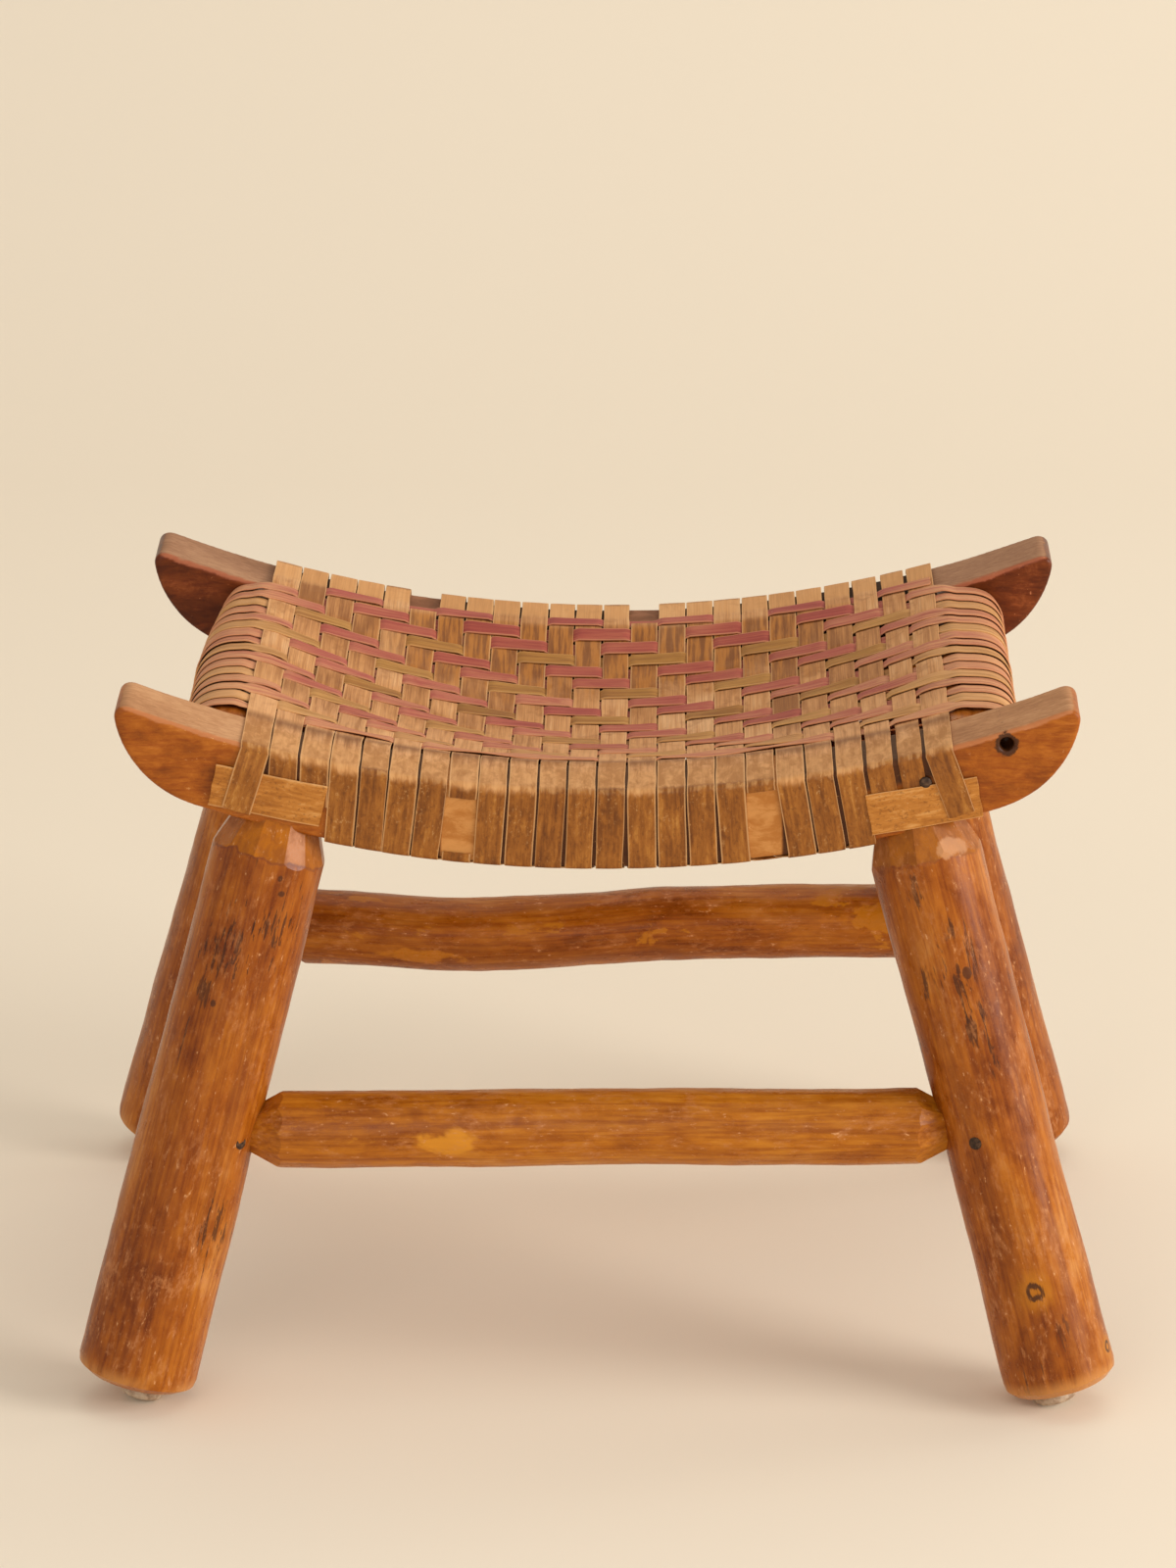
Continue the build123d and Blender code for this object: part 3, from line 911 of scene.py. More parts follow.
for side, name in ((-1, "left_side_bar"), (1, "right_side_bar")):
    front = -barShape["length"] / 2

    def barProfile(along, turned, side=side, front=front):
        x, z = wrapPoint(side, along + front, turned, -barShape["underWefts"])
        return math.hypot(x - side * stool["barX"], z - stool["barZ"])

    log = {**barShape, "seed": 11 + side, "flats": [], "bend": straight, "profile": barProfile}
    matrix = Matrix(((side, 0, 0), (0, 0, 1), (0, 1, 0))).to_4x4()
    matrix.translation = Vector((side * stool["barX"], front, stool["barZ"]))
    piece = makeLog(name + "_log", log, matrix)
    pickUp(piece)
    bpy.ops.object.mode_set(mode="EDIT")
    bpy.ops.mesh.select_all(action="SELECT")
    bpy.ops.mesh.normals_make_consistent(inside=False)
    bpy.ops.object.mode_set(mode="OBJECT")
    look = {**orangeLog, "seed": 12.5 + side, "streakFrom": 0.9}
    dress(piece, logMaterial(name + "_wood", look), "log_wood", name)
print("stretchers and bars ready")


# Rails: the sawn boards, worn round at their edges

railWear = {"voxel": 0.0015, "smoothing": 0.5, "passes": 3, "unevenness": 0.0009, "wave": 0.05}


def distance(tree, first, second):
    return calc(tree, "SQRT", plus(tree, calc(tree, "POWER", first, 2), calc(tree, "POWER", second, 2)))


def belowSaddle(tree, x, z):
    # how deep a place lies below the sawn top of the rails
    drop = minus(tree, z, stool["top"] + stool["radius"])
    return minus(tree, distance(tree, x, drop), stool["radius"])


def railMaterial(name, look):
    made, tree, shader = startMaterial(name)
    place = objectPlace(tree)
    x, y, z = splitUp(tree, place)
    seed = look["seed"]
    depth = belowSaddle(tree, x, z)
    onFace = unsigned(tree, minus(tree, y, look["middle"]))
    grain = cloud(tree, stretch(tree, place, (0.16, 1, 1), (seed, 0, 0)), 420, 5, 0.7, 0.4)
    mottle = cloud(tree, stretch(tree, place, (0.6, 1, 1), (0, seed, 0)), 95, 6, 0.7, 0.4)
    blotch = cloud(tree, stretch(tree, place, (0.5, 1, 1), (seed, seed, 0)), 26, 4, 0.6, 0.3)
    speck = cloud(tree, stretch(tree, place, (0.7, 1, 1), (0, 0, seed)), 380, 4, 0.7)
    tone = mixUp(tree, (mottle, 0.5), (blotch, 0.5))
    stops = [(0.38, look["dark"]), (0.48, look["face"]), (0.57, look["light"]), (0.66, look["pale"])]
    varnish = colourRamp(tree, tone, stops)
    grained = remap(tree, grain, 0.4, 0.65, 0, 0.5)
    varnish = blendColour(tree, grained, varnish, look["grainColour"], "MULTIPLY")
    fadedTone = mixUp(tree, (grain, 0.5), (blotch, 0.5))
    stops = [(0.38, look["topDark"]), (0.5, look["top"]), (0.62, look["topLight"])]
    faded = colourRamp(tree, fadedTone, stops)
    ragged = spread(tree, mottle, 0.006)
    onTop = remap(tree, plus(tree, depth, ragged), look["topDepth"], look["topDepth"] + 0.0012, 1, 0)
    shown = blendColour(tree, onTop, varnish, faded)
    # the rubbed upper edge: partly real wear, partly a painted highlight along the edge
    fromEdge = unsigned(tree, plus(tree, minus(tree, depth, 0.0012), ragged))
    outside = remap(tree, onFace, 0.0195, 0.0212)
    edgeWearAndHighlight = times(tree, remap(tree, fromEdge, 0.0004, 0.0020, 0.75, 0), outside)
    shown = blendColour(tree, edgeWearAndHighlight, shown, look["edge"])
    # bare wood where splints are broken away, painted shade in the gaps between the others
    exposed = 0.0
    for bareX in look["bare"]:
        near = remap(tree, unsigned(tree, minus(tree, x, bareX)), 0.0088, 0.0108, 1, 0)
        exposed = calc(tree, "MAXIMUM", exposed, near)
    bare = blendColour(tree, remap(tree, mottle, 0.4, 0.6), look["bareDark"], look["bareColour"])
    shown = blendColour(tree, times(tree, exposed, 0.9), shown, bare)
    # painted shade: the rail is made nearly black wherever splints cover it, except at the bare places
    sideways = unsigned(tree, x)
    belowTop = remap(tree, depth, 0.012, 0.016, 1, 0)
    high = times(tree, remap(tree, sideways, 0.186, 0.190, 1, 0), belowTop)
    gapShade = calc(tree, "MAXIMUM", remap(tree, sideways, 0.141, 0.144, 1, 0), high)
    gapShade = times(tree, gapShade, calc(tree, "MULTIPLY_ADD", exposed, -0.85, 0.85))
    shown = blendColour(tree, gapShade, shown, srgb(48, 24, 10))
    # small pale chips on the varnish
    chips = times(tree, remap(tree, speck, 0.66, 0.72), remap(tree, blotch, 0.42, 0.55, 0.15, 0.8))
    shown = blendColour(tree, chips, shown, look["chip"])
    if look.get("knot"):
        knotX, knotZ, knotSize = look["knot"]
        away = distance(tree, minus(tree, x, knotX), minus(tree, z, knotZ))
        away = plus(tree, away, spread(tree, speck, 0.006))
        knot = remap(tree, away, knotSize, knotSize + 0.0012, 0.9, 0)
        shown = blendColour(tree, knot, shown, srgb(58, 32, 16))
    feed(tree, shader.inputs["Base Color"], shown)
    feed(tree, shader.inputs["Roughness"], remap(tree, onTop, 0, 1, look["gloss"], 0.68))
    shader.inputs["Specular IOR Level"].default_value = 0.22
    bumpUp(tree, shader, mixUp(tree, (grain, 0.5), (mottle, 0.5)), 0.3, 0.0005)
    return made


rails = {
    "front_rail": {
        "seed": 3.1,
        "middle": -0.14,
        "dark": srgb(132, 66, 12),
        "face": srgb(162, 86, 18),
        "light": srgb(182, 104, 30),
        "pale": srgb(206, 136, 66),
        "grainColour": srgb(196, 150, 112),
        "topDark": srgb(164, 112, 72),
        "top": srgb(186, 132, 88),
        "topLight": srgb(204, 152, 106),
        "topDepth": 0.0016,
        "bare": [-0.0735, 0.0890],
        "knot": (0.217, 0.3724, 0.0058),
        "bareColour": srgb(202, 140, 76),
        "bareDark": srgb(178, 112, 48),
        # colour of the rubbed upper edge, partly a painted highlight
        "edge": srgb(190, 112, 62),
        "chip": srgb(224, 164, 100),
        "gloss": 0.4,
    },
    "rear_rail": {
        "seed": 8.4,
        "middle": 0.14,
        "dark": srgb(74, 28, 6),
        "face": srgb(94, 40, 8),
        "light": srgb(114, 52, 16),
        "pale": srgb(156, 84, 40),
        "grainColour": srgb(176, 128, 100),
        "topDark": srgb(140, 96, 66),
        "top": srgb(160, 114, 82),
        "topLight": srgb(178, 132, 96),
        "topDepth": 0.0014,
        "bare": [-0.1027, 0.0237],
        "bareColour": srgb(150, 96, 64),
        "bareDark": srgb(124, 74, 44),
        # colour of the rubbed upper edge, partly a painted highlight
        "edge": srgb(164, 82, 50),
        "chip": srgb(206, 130, 84),
        "gloss": 0.34,
    },
}

for name, rail in rails.items():
    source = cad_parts[name]
    piece = bpy.data.objects.new(name + "_board", source.data.copy())
    bpy.context.collection.objects.link(piece)
    pickUp(piece)
    bpy.ops.object.mode_set(mode="EDIT")
    bpy.ops.mesh.select_all(action="SELECT")
    bpy.ops.mesh.remove_doubles(threshold=0.00001)
    bpy.ops.object.mode_set(mode="OBJECT")
    applyModifier(piece, "REMESH", mode="VOXEL", voxel_size=railWear["voxel"], use_smooth_shade=True)
    applyModifier(piece, "SMOOTH", factor=railWear["smoothing"], iterations=railWear["passes"])
    waves = bpy.data.textures.new(name + "Waves", "CLOUDS")
    waves.noise_scale = railWear["wave"]
    applyModifier(piece, "DISPLACE", texture=waves, strength=railWear["unevenness"], mid_level=0.62)
    dress(piece, railMaterial(name + "_varnish", rail), "rail_wood", name)
print("rails ready")


# Splints: thin flat strips that follow a line, each with its own width, tone and wander

splintShape = {
    "thickness": 0.0008,
    "bevel": 0.00018,
    "columns": 5,
    "wander": 0.0004,
    "wanderSize": 0.03,
    "edgeShare": 0.03,  # of the width, how much it varies
    "edgeSize": 0.02,
    "crown": 0.00012,
}


def isBroken(middle, end, low, high):
    # broken over the rear rail, by y, or on the front face, by the depth below the top
    if end == "rear":
        return low < middle.y < high and middle.z > saddle(middle.x, stool["top"]) - 0.006
    depth = saddle(middle.x, stool["top"]) - middle.z
    return middle.y < -0.16 and low < depth < high


def makeSplint(name, splint):
    line = splint["line"]  # places, outward directions and sideways directions
    columns = splintShape["columns"]
    clearSelection()
    bpy.ops.mesh.primitive_grid_add(
        x_subdivisions=len(line) - 1, y_subdivisions=columns - 1, size=1, calc_uvs=False
    )
    piece = bpy.context.object
    piece.name = name
    data = piece.data
    chance = random.Random(splint["seed"])
    half = splint["width"] / 2
    lengths = [0]
    for before, after in zip(line, line[1:]):
        lengths.append(lengths[-1] + (Vector(after["at"]) - Vector(before["at"])).length)
    spots = []
    for vertex in data.vertices:
        index = round((vertex.co.x + 0.5) * (len(line) - 1))
        across = (vertex.co.y + 0.5) * 2 - 1
        spots.append((index, across))
    ragged = splint.get("ragged", 0)
    for vertex, (index, across) in zip(data.vertices, spots):
        station = line[index]
        run = lengths[index]
        wander = rough((run, across * 0.3, 0), splintShape["wanderSize"], splint["seed"])
        edge = rough((run, 0, across), splintShape["edgeSize"], splint["seed"] + 3)
        offset = half * across * (1 + splintShape["edgeShare"] * edge) + splintShape["wander"] * wander
        place = splint["follow"](station, offset * station.get("widen", 1))
        crown = -splintShape["crown"] * across * across + station.get("tilt", 0) * across
        vertex.co = place + Vector(station["out"]) * crown
        if ragged and index in (0, len(line) - 1):
            sign = -1 if index == 0 else 1
            near = line[1] if index == 0 else line[-2]
            along = (Vector(station["at"]) - Vector(near["at"])).normalized()
            vertex.co += along * ragged * rough((across * 5, index, 0), 1, splint["seed"])
    layer = data.uv_layers.new(name="strip")
    for loop in data.loops:
        index, across = spots[loop.vertex_index]
        layer.data[loop.index].uv = (lengths[index] + splint["uvShift"], half * across)
    tone = data.attributes.new("tone", "FLOAT", "POINT")
    for value in tone.data:
        value.value = splint["tone"]
    pickUp(piece)
    bpy.ops.object.mode_set(mode="EDIT")
    bpy.ops.mesh.select_all(action="SELECT")
    if splint.get("flip"):
        bpy.ops.mesh.flip_normals()
    for end, low, high in splint.get("gone", []):
        bpy.ops.mesh.select_all(action="DESELECT")
        mesh = bmesh.from_edit_mesh(data)
        for face in mesh.faces:
            face.select = isBroken(face.calc_center_median(), end, low, high)
        bmesh.update_edit_mesh(data)
        bpy.ops.mesh.delete(type="FACE")
    bpy.ops.object.mode_set(mode="OBJECT")
    applyModifier(piece, "SOLIDIFY", thickness=splintShape["thickness"], offset=0)
    bevel = {"width": splintShape["bevel"], "segments": 1, "limit_method": "ANGLE", "angle_limit": 1.0}
    applyModifier(piece, "BEVEL", **bevel)
    smoothShade(piece, 40)
    return piece


def splintMaterial(name, look):
    made, tree, shader = startMaterial(name)
    strip = tree.nodes.new("ShaderNodeUVMap")
    strip.uv_map = "strip"
    along, across = splitUp(tree, strip.outputs[0])[:2]
    toneNode = tree.nodes.new("ShaderNodeAttribute")
    toneNode.attribute_name = "tone"
    own = toneNode.outputs["Fac"]
    flat = joinUp(tree, along, across, times(tree, own, 3.7))
    fibre = cloud(tree, stretch(tree, flat, (14, 1500, 1)), 1, 4, 0.6, 0.1)
    coarse = cloud(tree, stretch(tree, flat, (26, 380, 1)), 1, 4, 0.6, 0.2)
    blotch = cloud(tree, stretch(tree, flat, (60, 90, 1)), 1, 4, 0.6, 0.4)
    drift = cloud(tree, stretch(tree, flat, (11, 3, 1)), 1, 2, 0.5)
    tone = mixUp(tree, (coarse, 0.4), (drift, 0.6))
    tone = plus(tree, tone, spread(tree, own, look["toneShare"]))
    colour = colourRamp(tree, tone, look["stops"])
    fibres = remap(tree, fibre, 0.32, 0.62, look["fibreShare"], 0)
    colour = blendColour(tree, fibres, colour, look["fibre"], "MULTIPLY")
    blotches = remap(tree, blotch, 0.52, 0.66, 0, look["blotchShare"])
    colour = blendColour(tree, blotches, colour, look["blotch"])
    x, y, z = splitUp(tree, objectPlace(tree))
    # how far past the rail's outer edge: below zero on top of the rail, above it on the face
    depth = calc(tree, "MAXIMUM", belowSaddle(tree, x, z), 0)
    inward = calc(tree, "MAXIMUM", minus(tree, stool["outer"], unsigned(tree, y)), 0)
    past = minus(tree, depth, inward)
    unevenEdge = plus(tree, spread(tree, coarse, 0.010), spread(tree, blotch, 0.012))
    ragged = plus(tree, past, unevenEdge)
    # faded where the splints turn down at the sides, and worn towards the front
    sideways = remap(tree, unsigned(tree, x), 0.15, 0.20, 0, look["fadedShare"])
    sideways = times(tree, sideways, remap(tree, coarse, 0.38, 0.56, 0.4, 1))
    colour = blendColour(tree, sideways, colour, look["faded"])
    worn = remap(tree, y, -0.11, -0.01, look["wornShare"], 0)
    worn = times(tree, worn, remap(tree, coarse, 0.36, 0.6, 0.3, 1))
    colour = blendColour(tree, worn, colour, look["faded"])
    # golden stains towards the rear of the seat
    rear = remap(tree, plus(tree, y, times(tree, unevenEdge, 6.0)), 0.010, 0.070)
    rear = times(tree, rear, remap(tree, y, 0.112, 0.124, 1, 0))
    stained = times(tree, rear, remap(tree, unsigned(tree, x), 0.09, 0.16, look["stainShare"], 0))
    stain = blendColour(tree, remap(tree, coarse, 0.4, 0.6), look["stainDark"], look["stain"])
    colour = blendColour(tree, stained, colour, stain)
    # painted shade and dark stain beside the weave, brown stains and rubbed places on top of the front rail
    speck = cloud(tree, stretch(tree, flat, (420, 560, 1)), 1, 4, 0.7, 0.2)
    smear = cloud(tree, stretch(tree, flat, (85, 230, 1)), 1, 5, 0.65, 0.6)
    onBand = remap(tree, past, -0.058, -0.046)
    front = remap(tree, y, -0.02, 0, 1, 0)
    rubbedTop = times(tree, remap(tree, ragged, -0.036, -0.024), look["rubbedShare"])
    colour = blendColour(tree, rubbedTop, colour, look["rubbedTop"])
    ownShift = spread(tree, own, 0.007)
    grime = mixUp(tree, (smear, 0.6), (blotch, 0.4))
    grime = plus(tree, grime, spread(tree, own, 0.10))
    grime = remap(tree, grime, 0.38, 0.62, 0, look["besideShare"])
    grime = times(tree, grime, times(tree, onBand, front))
    colour = blendColour(tree, grime, colour, srgb(158, 98, 38))
    # a dark band beside the weave: partly painted shade under the last weft, partly dark stain
    besideShadeAndStain = remap(tree, plus(tree, ragged, ownShift), -0.050, -0.036, look["besideShare"], 0)
    besideShadeAndStain = times(tree, besideShadeAndStain, onBand)
    colour = blendColour(tree, times(tree, besideShadeAndStain, front), colour, srgb(112, 62, 24))
    # old varnish on the outer faces, from a ragged line at the edge down, of each splint's own height
    edgeRagged = calc(tree, "MULTIPLY_ADD", minus(tree, smear, 0.5), 0.009, past)
    ownLine = plus(tree, edgeRagged, ownShift)
    varnished = times(tree, remap(tree, ownLine, -0.0026, 0.0022), look["varnishShare"])
    varnishTone = mixUp(tree, (coarse, 0.35), (smear, 0.4), (drift, 0.25))
    varnish = colourRamp(tree, varnishTone, look["varnish"])
    flecks = times(tree, remap(tree, speck, 0.56, 0.66), remap(tree, blotch, 0.44, 0.62, 0.05, 0.55))
    varnish = blendColour(tree, flecks, varnish, srgb(198, 148, 90))
    varnish = blendColour(tree, remap(tree, speck, 0.36, 0.44, 0.45, 0), varnish, srgb(96, 50, 12))
    colour = blendColour(tree, varnished, colour, varnish)
    # a thin rubbed line along the crest, partly real wear and partly a painted highlight
    crestWearAndHighlight = remap(tree, unsigned(tree, plus(tree, edgeRagged, 0.0004)), 0.0003, 0.0020, 0.4, 0)
    crestWearAndHighlight = times(tree, crestWearAndHighlight, times(tree, remap(tree, coarse, 0.4, 0.6), look["varnishShare"]))
    colour = blendColour(tree, crestWearAndHighlight, colour, srgb(212, 160, 100))
    # painted shade where the wefts lap over each other round the side bars
    lapShade = times(tree, remap(tree, across, 0.0040, 0.0052, 0, 0.6), look["lapShadeShare"])
    lapShade = times(tree, lapShade, remap(tree, unsigned(tree, x), 0.187, 0.194))
    colour = blendColour(tree, lapShade, colour, srgb(84, 38, 24))
    # pale worn edges of the strip, partly a painted highlight
    edge = remap(tree, unsigned(tree, across), look["halfWidth"] - 0.0010, look["halfWidth"] - 0.0004)
    colour = blendColour(tree, times(tree, edge, look["edgeShare"]), colour, look["edge"])
    feed(tree, shader.inputs["Base Color"], colour)
    feed(tree, shader.inputs["Roughness"], remap(tree, varnished, 0, 1, 0.62, 0.42))
    shader.inputs["Specular IOR Level"].default_value = 0.3
    bumpUp(tree, shader, mixUp(tree, (fibre, 0.5), (coarse, 0.6)), 0.4, 0.0004)
    return made


tanLook = {
    "stops": [
        (0.36, srgb(156, 98, 46)),
        (0.45, srgb(188, 128, 72)),
        (0.55, srgb(210, 150, 92)),
        (0.66, srgb(226, 174, 120)),
    ],
    "toneShare": 0.14,
    "fibre": srgb(158, 112, 74),
    "fibreShare": 0.44,
    "blotch": srgb(150, 92, 42),
    "blotchShare": 0.45,
    # pale edge colour: partly wear, partly a painted highlight
    "edge": srgb(222, 172, 116),
    "edgeShare": 0.5,
    "halfWidth": 0.0075,
    "faded": srgb(220, 162, 108),
    "fadedShare": 0.0,
    "wornShare": 0.75,
    "stain": srgb(172, 104, 28),
    "stainDark": srgb(120, 64, 14),
    "stainShare": 0.85,
    "besideShare": 0.7,
    "rubbedTop": srgb(214, 154, 92),
    "rubbedShare": 0.6,
    "lapShadeShare": 0.0,
    "varnishShare": 1.0,
    "varnish": [
        (0.38, srgb(104, 54, 8)),
        (0.46, srgb(134, 76, 18)),
        (0.53, srgb(154, 92, 28)),
        (0.60, srgb(174, 112, 42)),
        (0.68, srgb(204, 150, 86)),
    ],
}
roseLook = {
    **tanLook,
    "stops": [
        (0.36, srgb(156, 64, 56)),
        (0.46, srgb(176, 86, 70)),
        (0.55, srgb(188, 108, 82)),
        (0.66, srgb(204, 140, 98)),
    ],
    "toneShare": 0.10,
    "fibre": srgb(164, 100, 84),
    "blotch": srgb(164, 64, 62),
    "blotchShare": 0.5,
    "edge": srgb(212, 150, 104),
    "edgeShare": 0.5,
    "halfWidth": 0.0058,
    "fadedShare": 0.6,
    "wornShare": 0.55,
    "lapShadeShare": 1.0,
    "stain": srgb(166, 76, 52),
    "stainDark": srgb(142, 56, 42),
    "stainShare": 0.5,
    "besideShare": 0.0,
    "rubbedShare": 0.0,
    "varnishShare": 0.0,
}
oliveLook = {
    **roseLook,
    "stops": [
        (0.36, srgb(146, 92, 36)),
        (0.46, srgb(170, 114, 50)),
        (0.57, srgb(190, 138, 68)),
        (0.68, srgb(198, 134, 78)),
    ],
    "fibre": srgb(156, 112, 66),
    "blotch": srgb(150, 106, 40),
    "blotchShare": 0.35,
    "edge": srgb(214, 164, 104),
    "stain": srgb(164, 106, 32),
    "stainDark": srgb(130, 78, 22),
}
warpWood = splintMaterial("tanSplint", tanLook)
roseWood = splintMaterial("roseSplint", roseLook)
oliveWood = splintMaterial("oliveSplint", oliveLook)

weave = {
    "warpLift": 0.0006,
    "weftLift": 0.0009,
    "turnLength": 0.0050,
    "warpWidth": 0.0151,
    "weftWidth": 0.0114,
    "twist": 0.0008,
    "twistRear": 0.0003,
    "sideTilt": (-0.0010, -0.0003),
    "sideWiden": 1.26,
    "half": 0.0004,
    "faceGap": 0.0006,
    "cornerRound": 0.0028,
    "topStep": 0.0019,
    "underStep": 0.0026,
    "weftTopStep": 0.0022,
    "weftUnderStep": 0.0035,
    "overlap": 0.0009,
    "warpJoin": 0.05,
    "warpLap": (-0.016, 0.002),
    "weftJoin": 0.06,
    "weftLap": (-0.018, 0.003),
    "rearRun": 0.012,
    "frontRun": 0.014,
    "sideRun": 1.2,
    "twistReach": 0.06,
    "underEnd": 0.15,
    "underReach": 0.147,
    "underDrop": 0.0011,
    "weftGap": 0.0001,
    "weftUnderGap": 0.0006,
    "meetOutset": 0.001,
    "openInset": 0.002,
    "openStep": 0.0026,
    "shortWarps": 3,
    "outerEnd": 0.10,
    "shortEnds": (0.36, 0.08),
    "overStrip": 0.0019,
    "warpSpread": (-0.0010, 0.0001),
    "weftSpread": (-0.0005, 0.0004),
    "wrapSteps": 32,
    "oliveRows": (4, 7, 10, 13, 16),
}


def warpWave(index, y, firstRow=1):
    # -1 under a weft, 1 over it, with smooth turns half-way between two rows
    rows = range(firstRow, stool["wefts"] + 1)
    places = [weftY(row) for row in rows]
    levels = [-1 if isOver(index, row) else 1 for row in rows]
    if y >= places[0]:
        return levels[0] * smoothStep(1 - (y - places[0]) / weave["rearRun"])
    if y <= places[-1]:
        return levels[-1] * smoothStep(1 - (places[-1] - y) / weave["frontRun"])
    for before, after, levelBefore, levelAfter in zip(places, places[1:], levels, levels[1:]):
        if y >= after:
            middle = (before + after) / 2
            share = smoothStep((middle - y) / weave["turnLength"] + 0.5)
            return levelBefore + (levelAfter - levelBefore) * share
    return 0


def weftWave(row, x):
    position = x / stool["warpPitch"] + (stool["warps"] - 1) / 2
    index = math.floor(position)
    before = 1 if isOver(max(0, index), row) else -1
    after = 1 if isOver(min(stool["warps"] - 1, index + 1), row) else -1
    if index < 0:
        return after * smoothStep(1 + position / weave["sideRun"])
    if index >= stool["warps"] - 1:
        return before * smoothStep(1 - (position - stool["warps"] + 1) / weave["sideRun"])
    share = (position - index - 0.5) * stool["warpPitch"] / weave["turnLength"] + 0.5
    return before + (after - before) * smoothStep(share)


def weftTwist(row, x):
    # a weft leans towards the front where it comes up and away where it dives, more so near the front
    position = x / stool["warpPitch"] + (stool["warps"] - 1) / 2
    fromMiddle = (position - row - 1.5 + 2) % 4 - 2
    nearness = (stool["inner"] - weftY(row)) / (2 * stool["inner"])
    size = weave["twistRear"] + (weave["twist"] - weave["twistRear"]) * nearness
    return size * math.sin(math.pi * fromMiddle / 2) * max(-1, min(1, x / weave["twistReach"]))


def warpLine(index, seed):
    # stations of one warp: y, the part it is on, its share of that part or, in a bend, its height there,
    # and its outward direction
    cornerRound = weave["cornerRound"]
    face = stool["outer"] + weave["faceGap"]
    stations = []

    def add(y, part, share, out):
        stations.append({"y": y, "part": part, "share": share, "out": out})

    def addCorner(centre, part, startAngle):
        for step in range(5):
            angle = startAngle - math.pi / 2 * step / 4
            out = (0, math.cos(angle), math.sin(angle))
            add(centre + cornerRound * math.cos(angle), part, cornerRound * math.sin(angle), out)

    joinY = random.Random(seed).uniform(-weave["warpJoin"], weave["warpJoin"])
    front = -face + cornerRound
    rear = face - cornerRound
    # under the seat towards the front, up the front face, back over the top, down the rear face, under
    y = joinY
    while y > front:
        add(y, "under", 0, (0, 0, -1))
        y -= weave["underStep"]
    addCorner(front, "frontLow", math.pi * 1.5)
    for step in range(1, 14):
        add(-face, "frontFace", step / 14, (0, -1, 0))
    addCorner(front, "frontHigh", math.pi)
    y = front + weave["topStep"]
    while y < rear:
        add(y, "top", 0, (0, 0, 1))
        y += weave["topStep"]
    addCorner(rear, "rearHigh", math.pi / 2)
    for step in range(1, 14):
        add(face, "rearFace", 1 - step / 14, (0, 1, 0))
    addCorner(rear, "rearLow", 0)
    # the last run laps below the first one
    lapEnd, lapStart = (joinY + reach for reach in weave["warpLap"])
    y = rear - weave["underStep"]
    while y > lapEnd:
        add(y, "under", 0, (0, 0, -1))
        if y < lapStart:
            stations[-1]["deeper"] = weave["overlap"]
        y -= weave["underStep"]
    return stations


def warpPlace(index, station, x):
    half = weave["half"]
    cornerRound = weave["cornerRound"]
    y = station["y"]
    part = station["part"]
    lift = half + weave["warpLift"] * 0.2
    topFront = saddle(x, stool["top"]) + stool["gap"] + lift
    topRear = topFront + stool["rearLift"]
    bottom = saddle(x, stool["underside"]) - stool["gap"] - half
    if part == "top":
        z = seatHeight(x, y) + lift + weave["warpLift"] * warpWave(index, y)
        if abs(y) > stool["inner"] + 0.012:
            z = max(z, topFront if y < 0 else topRear - 0.0004)
    elif part == "under":
        wave = warpWave(index, y, 2) if abs(y) < stool["inner"] else 0
        z = bottom - stool["gap"] - station.get("deeper", 0) - weave["warpLift"] * wave
    elif part in ("frontHigh", "rearHigh"):
        z = (topFront if part == "frontHigh" else topRear) - cornerRound + station["share"]
    elif part in ("frontLow", "rearLow"):
        z = bottom + cornerRound + station["share"]
    else:
        top = (topFront if part == "frontFace" else topRear) - cornerRound
        z = bottom + cornerRound + (top - bottom - cornerRound) * station["share"]
    return Vector((x, y, z))


def warpSide(index):
    # 0 for the outermost warp of either side
    return min(index, stool["warps"] - 1 - index)


# how far each splint's foot leans sideways on the rails' faces, from the left
leans = (-0.0126, -0.003, -0.002, -0.004, -0.004, -0.005, -0.005, -0.0045)
leans += (-0.0028, -0.0025, -0.0022, -0.0012, -0.001, 0.0004, 0.001, 0.0016)
leans += (0.003, 0.005, 0.0068, 0.0072, 0.007, 0.008, 0.0085, 0.0145)

# splints that are narrower than the others, and by how much
narrowed = {21: 0.0016, 22: 0.0016}

# where splints are broken away, on which rail and from where to where
breaks = {
    5: [("rear", 0.1225, 0.2)],
    13: [("rear", 0.1225, 0.2)],
    7: [("front", 0.008, 0.038)],
    17: [("front", 0.006, 0.045)],
}


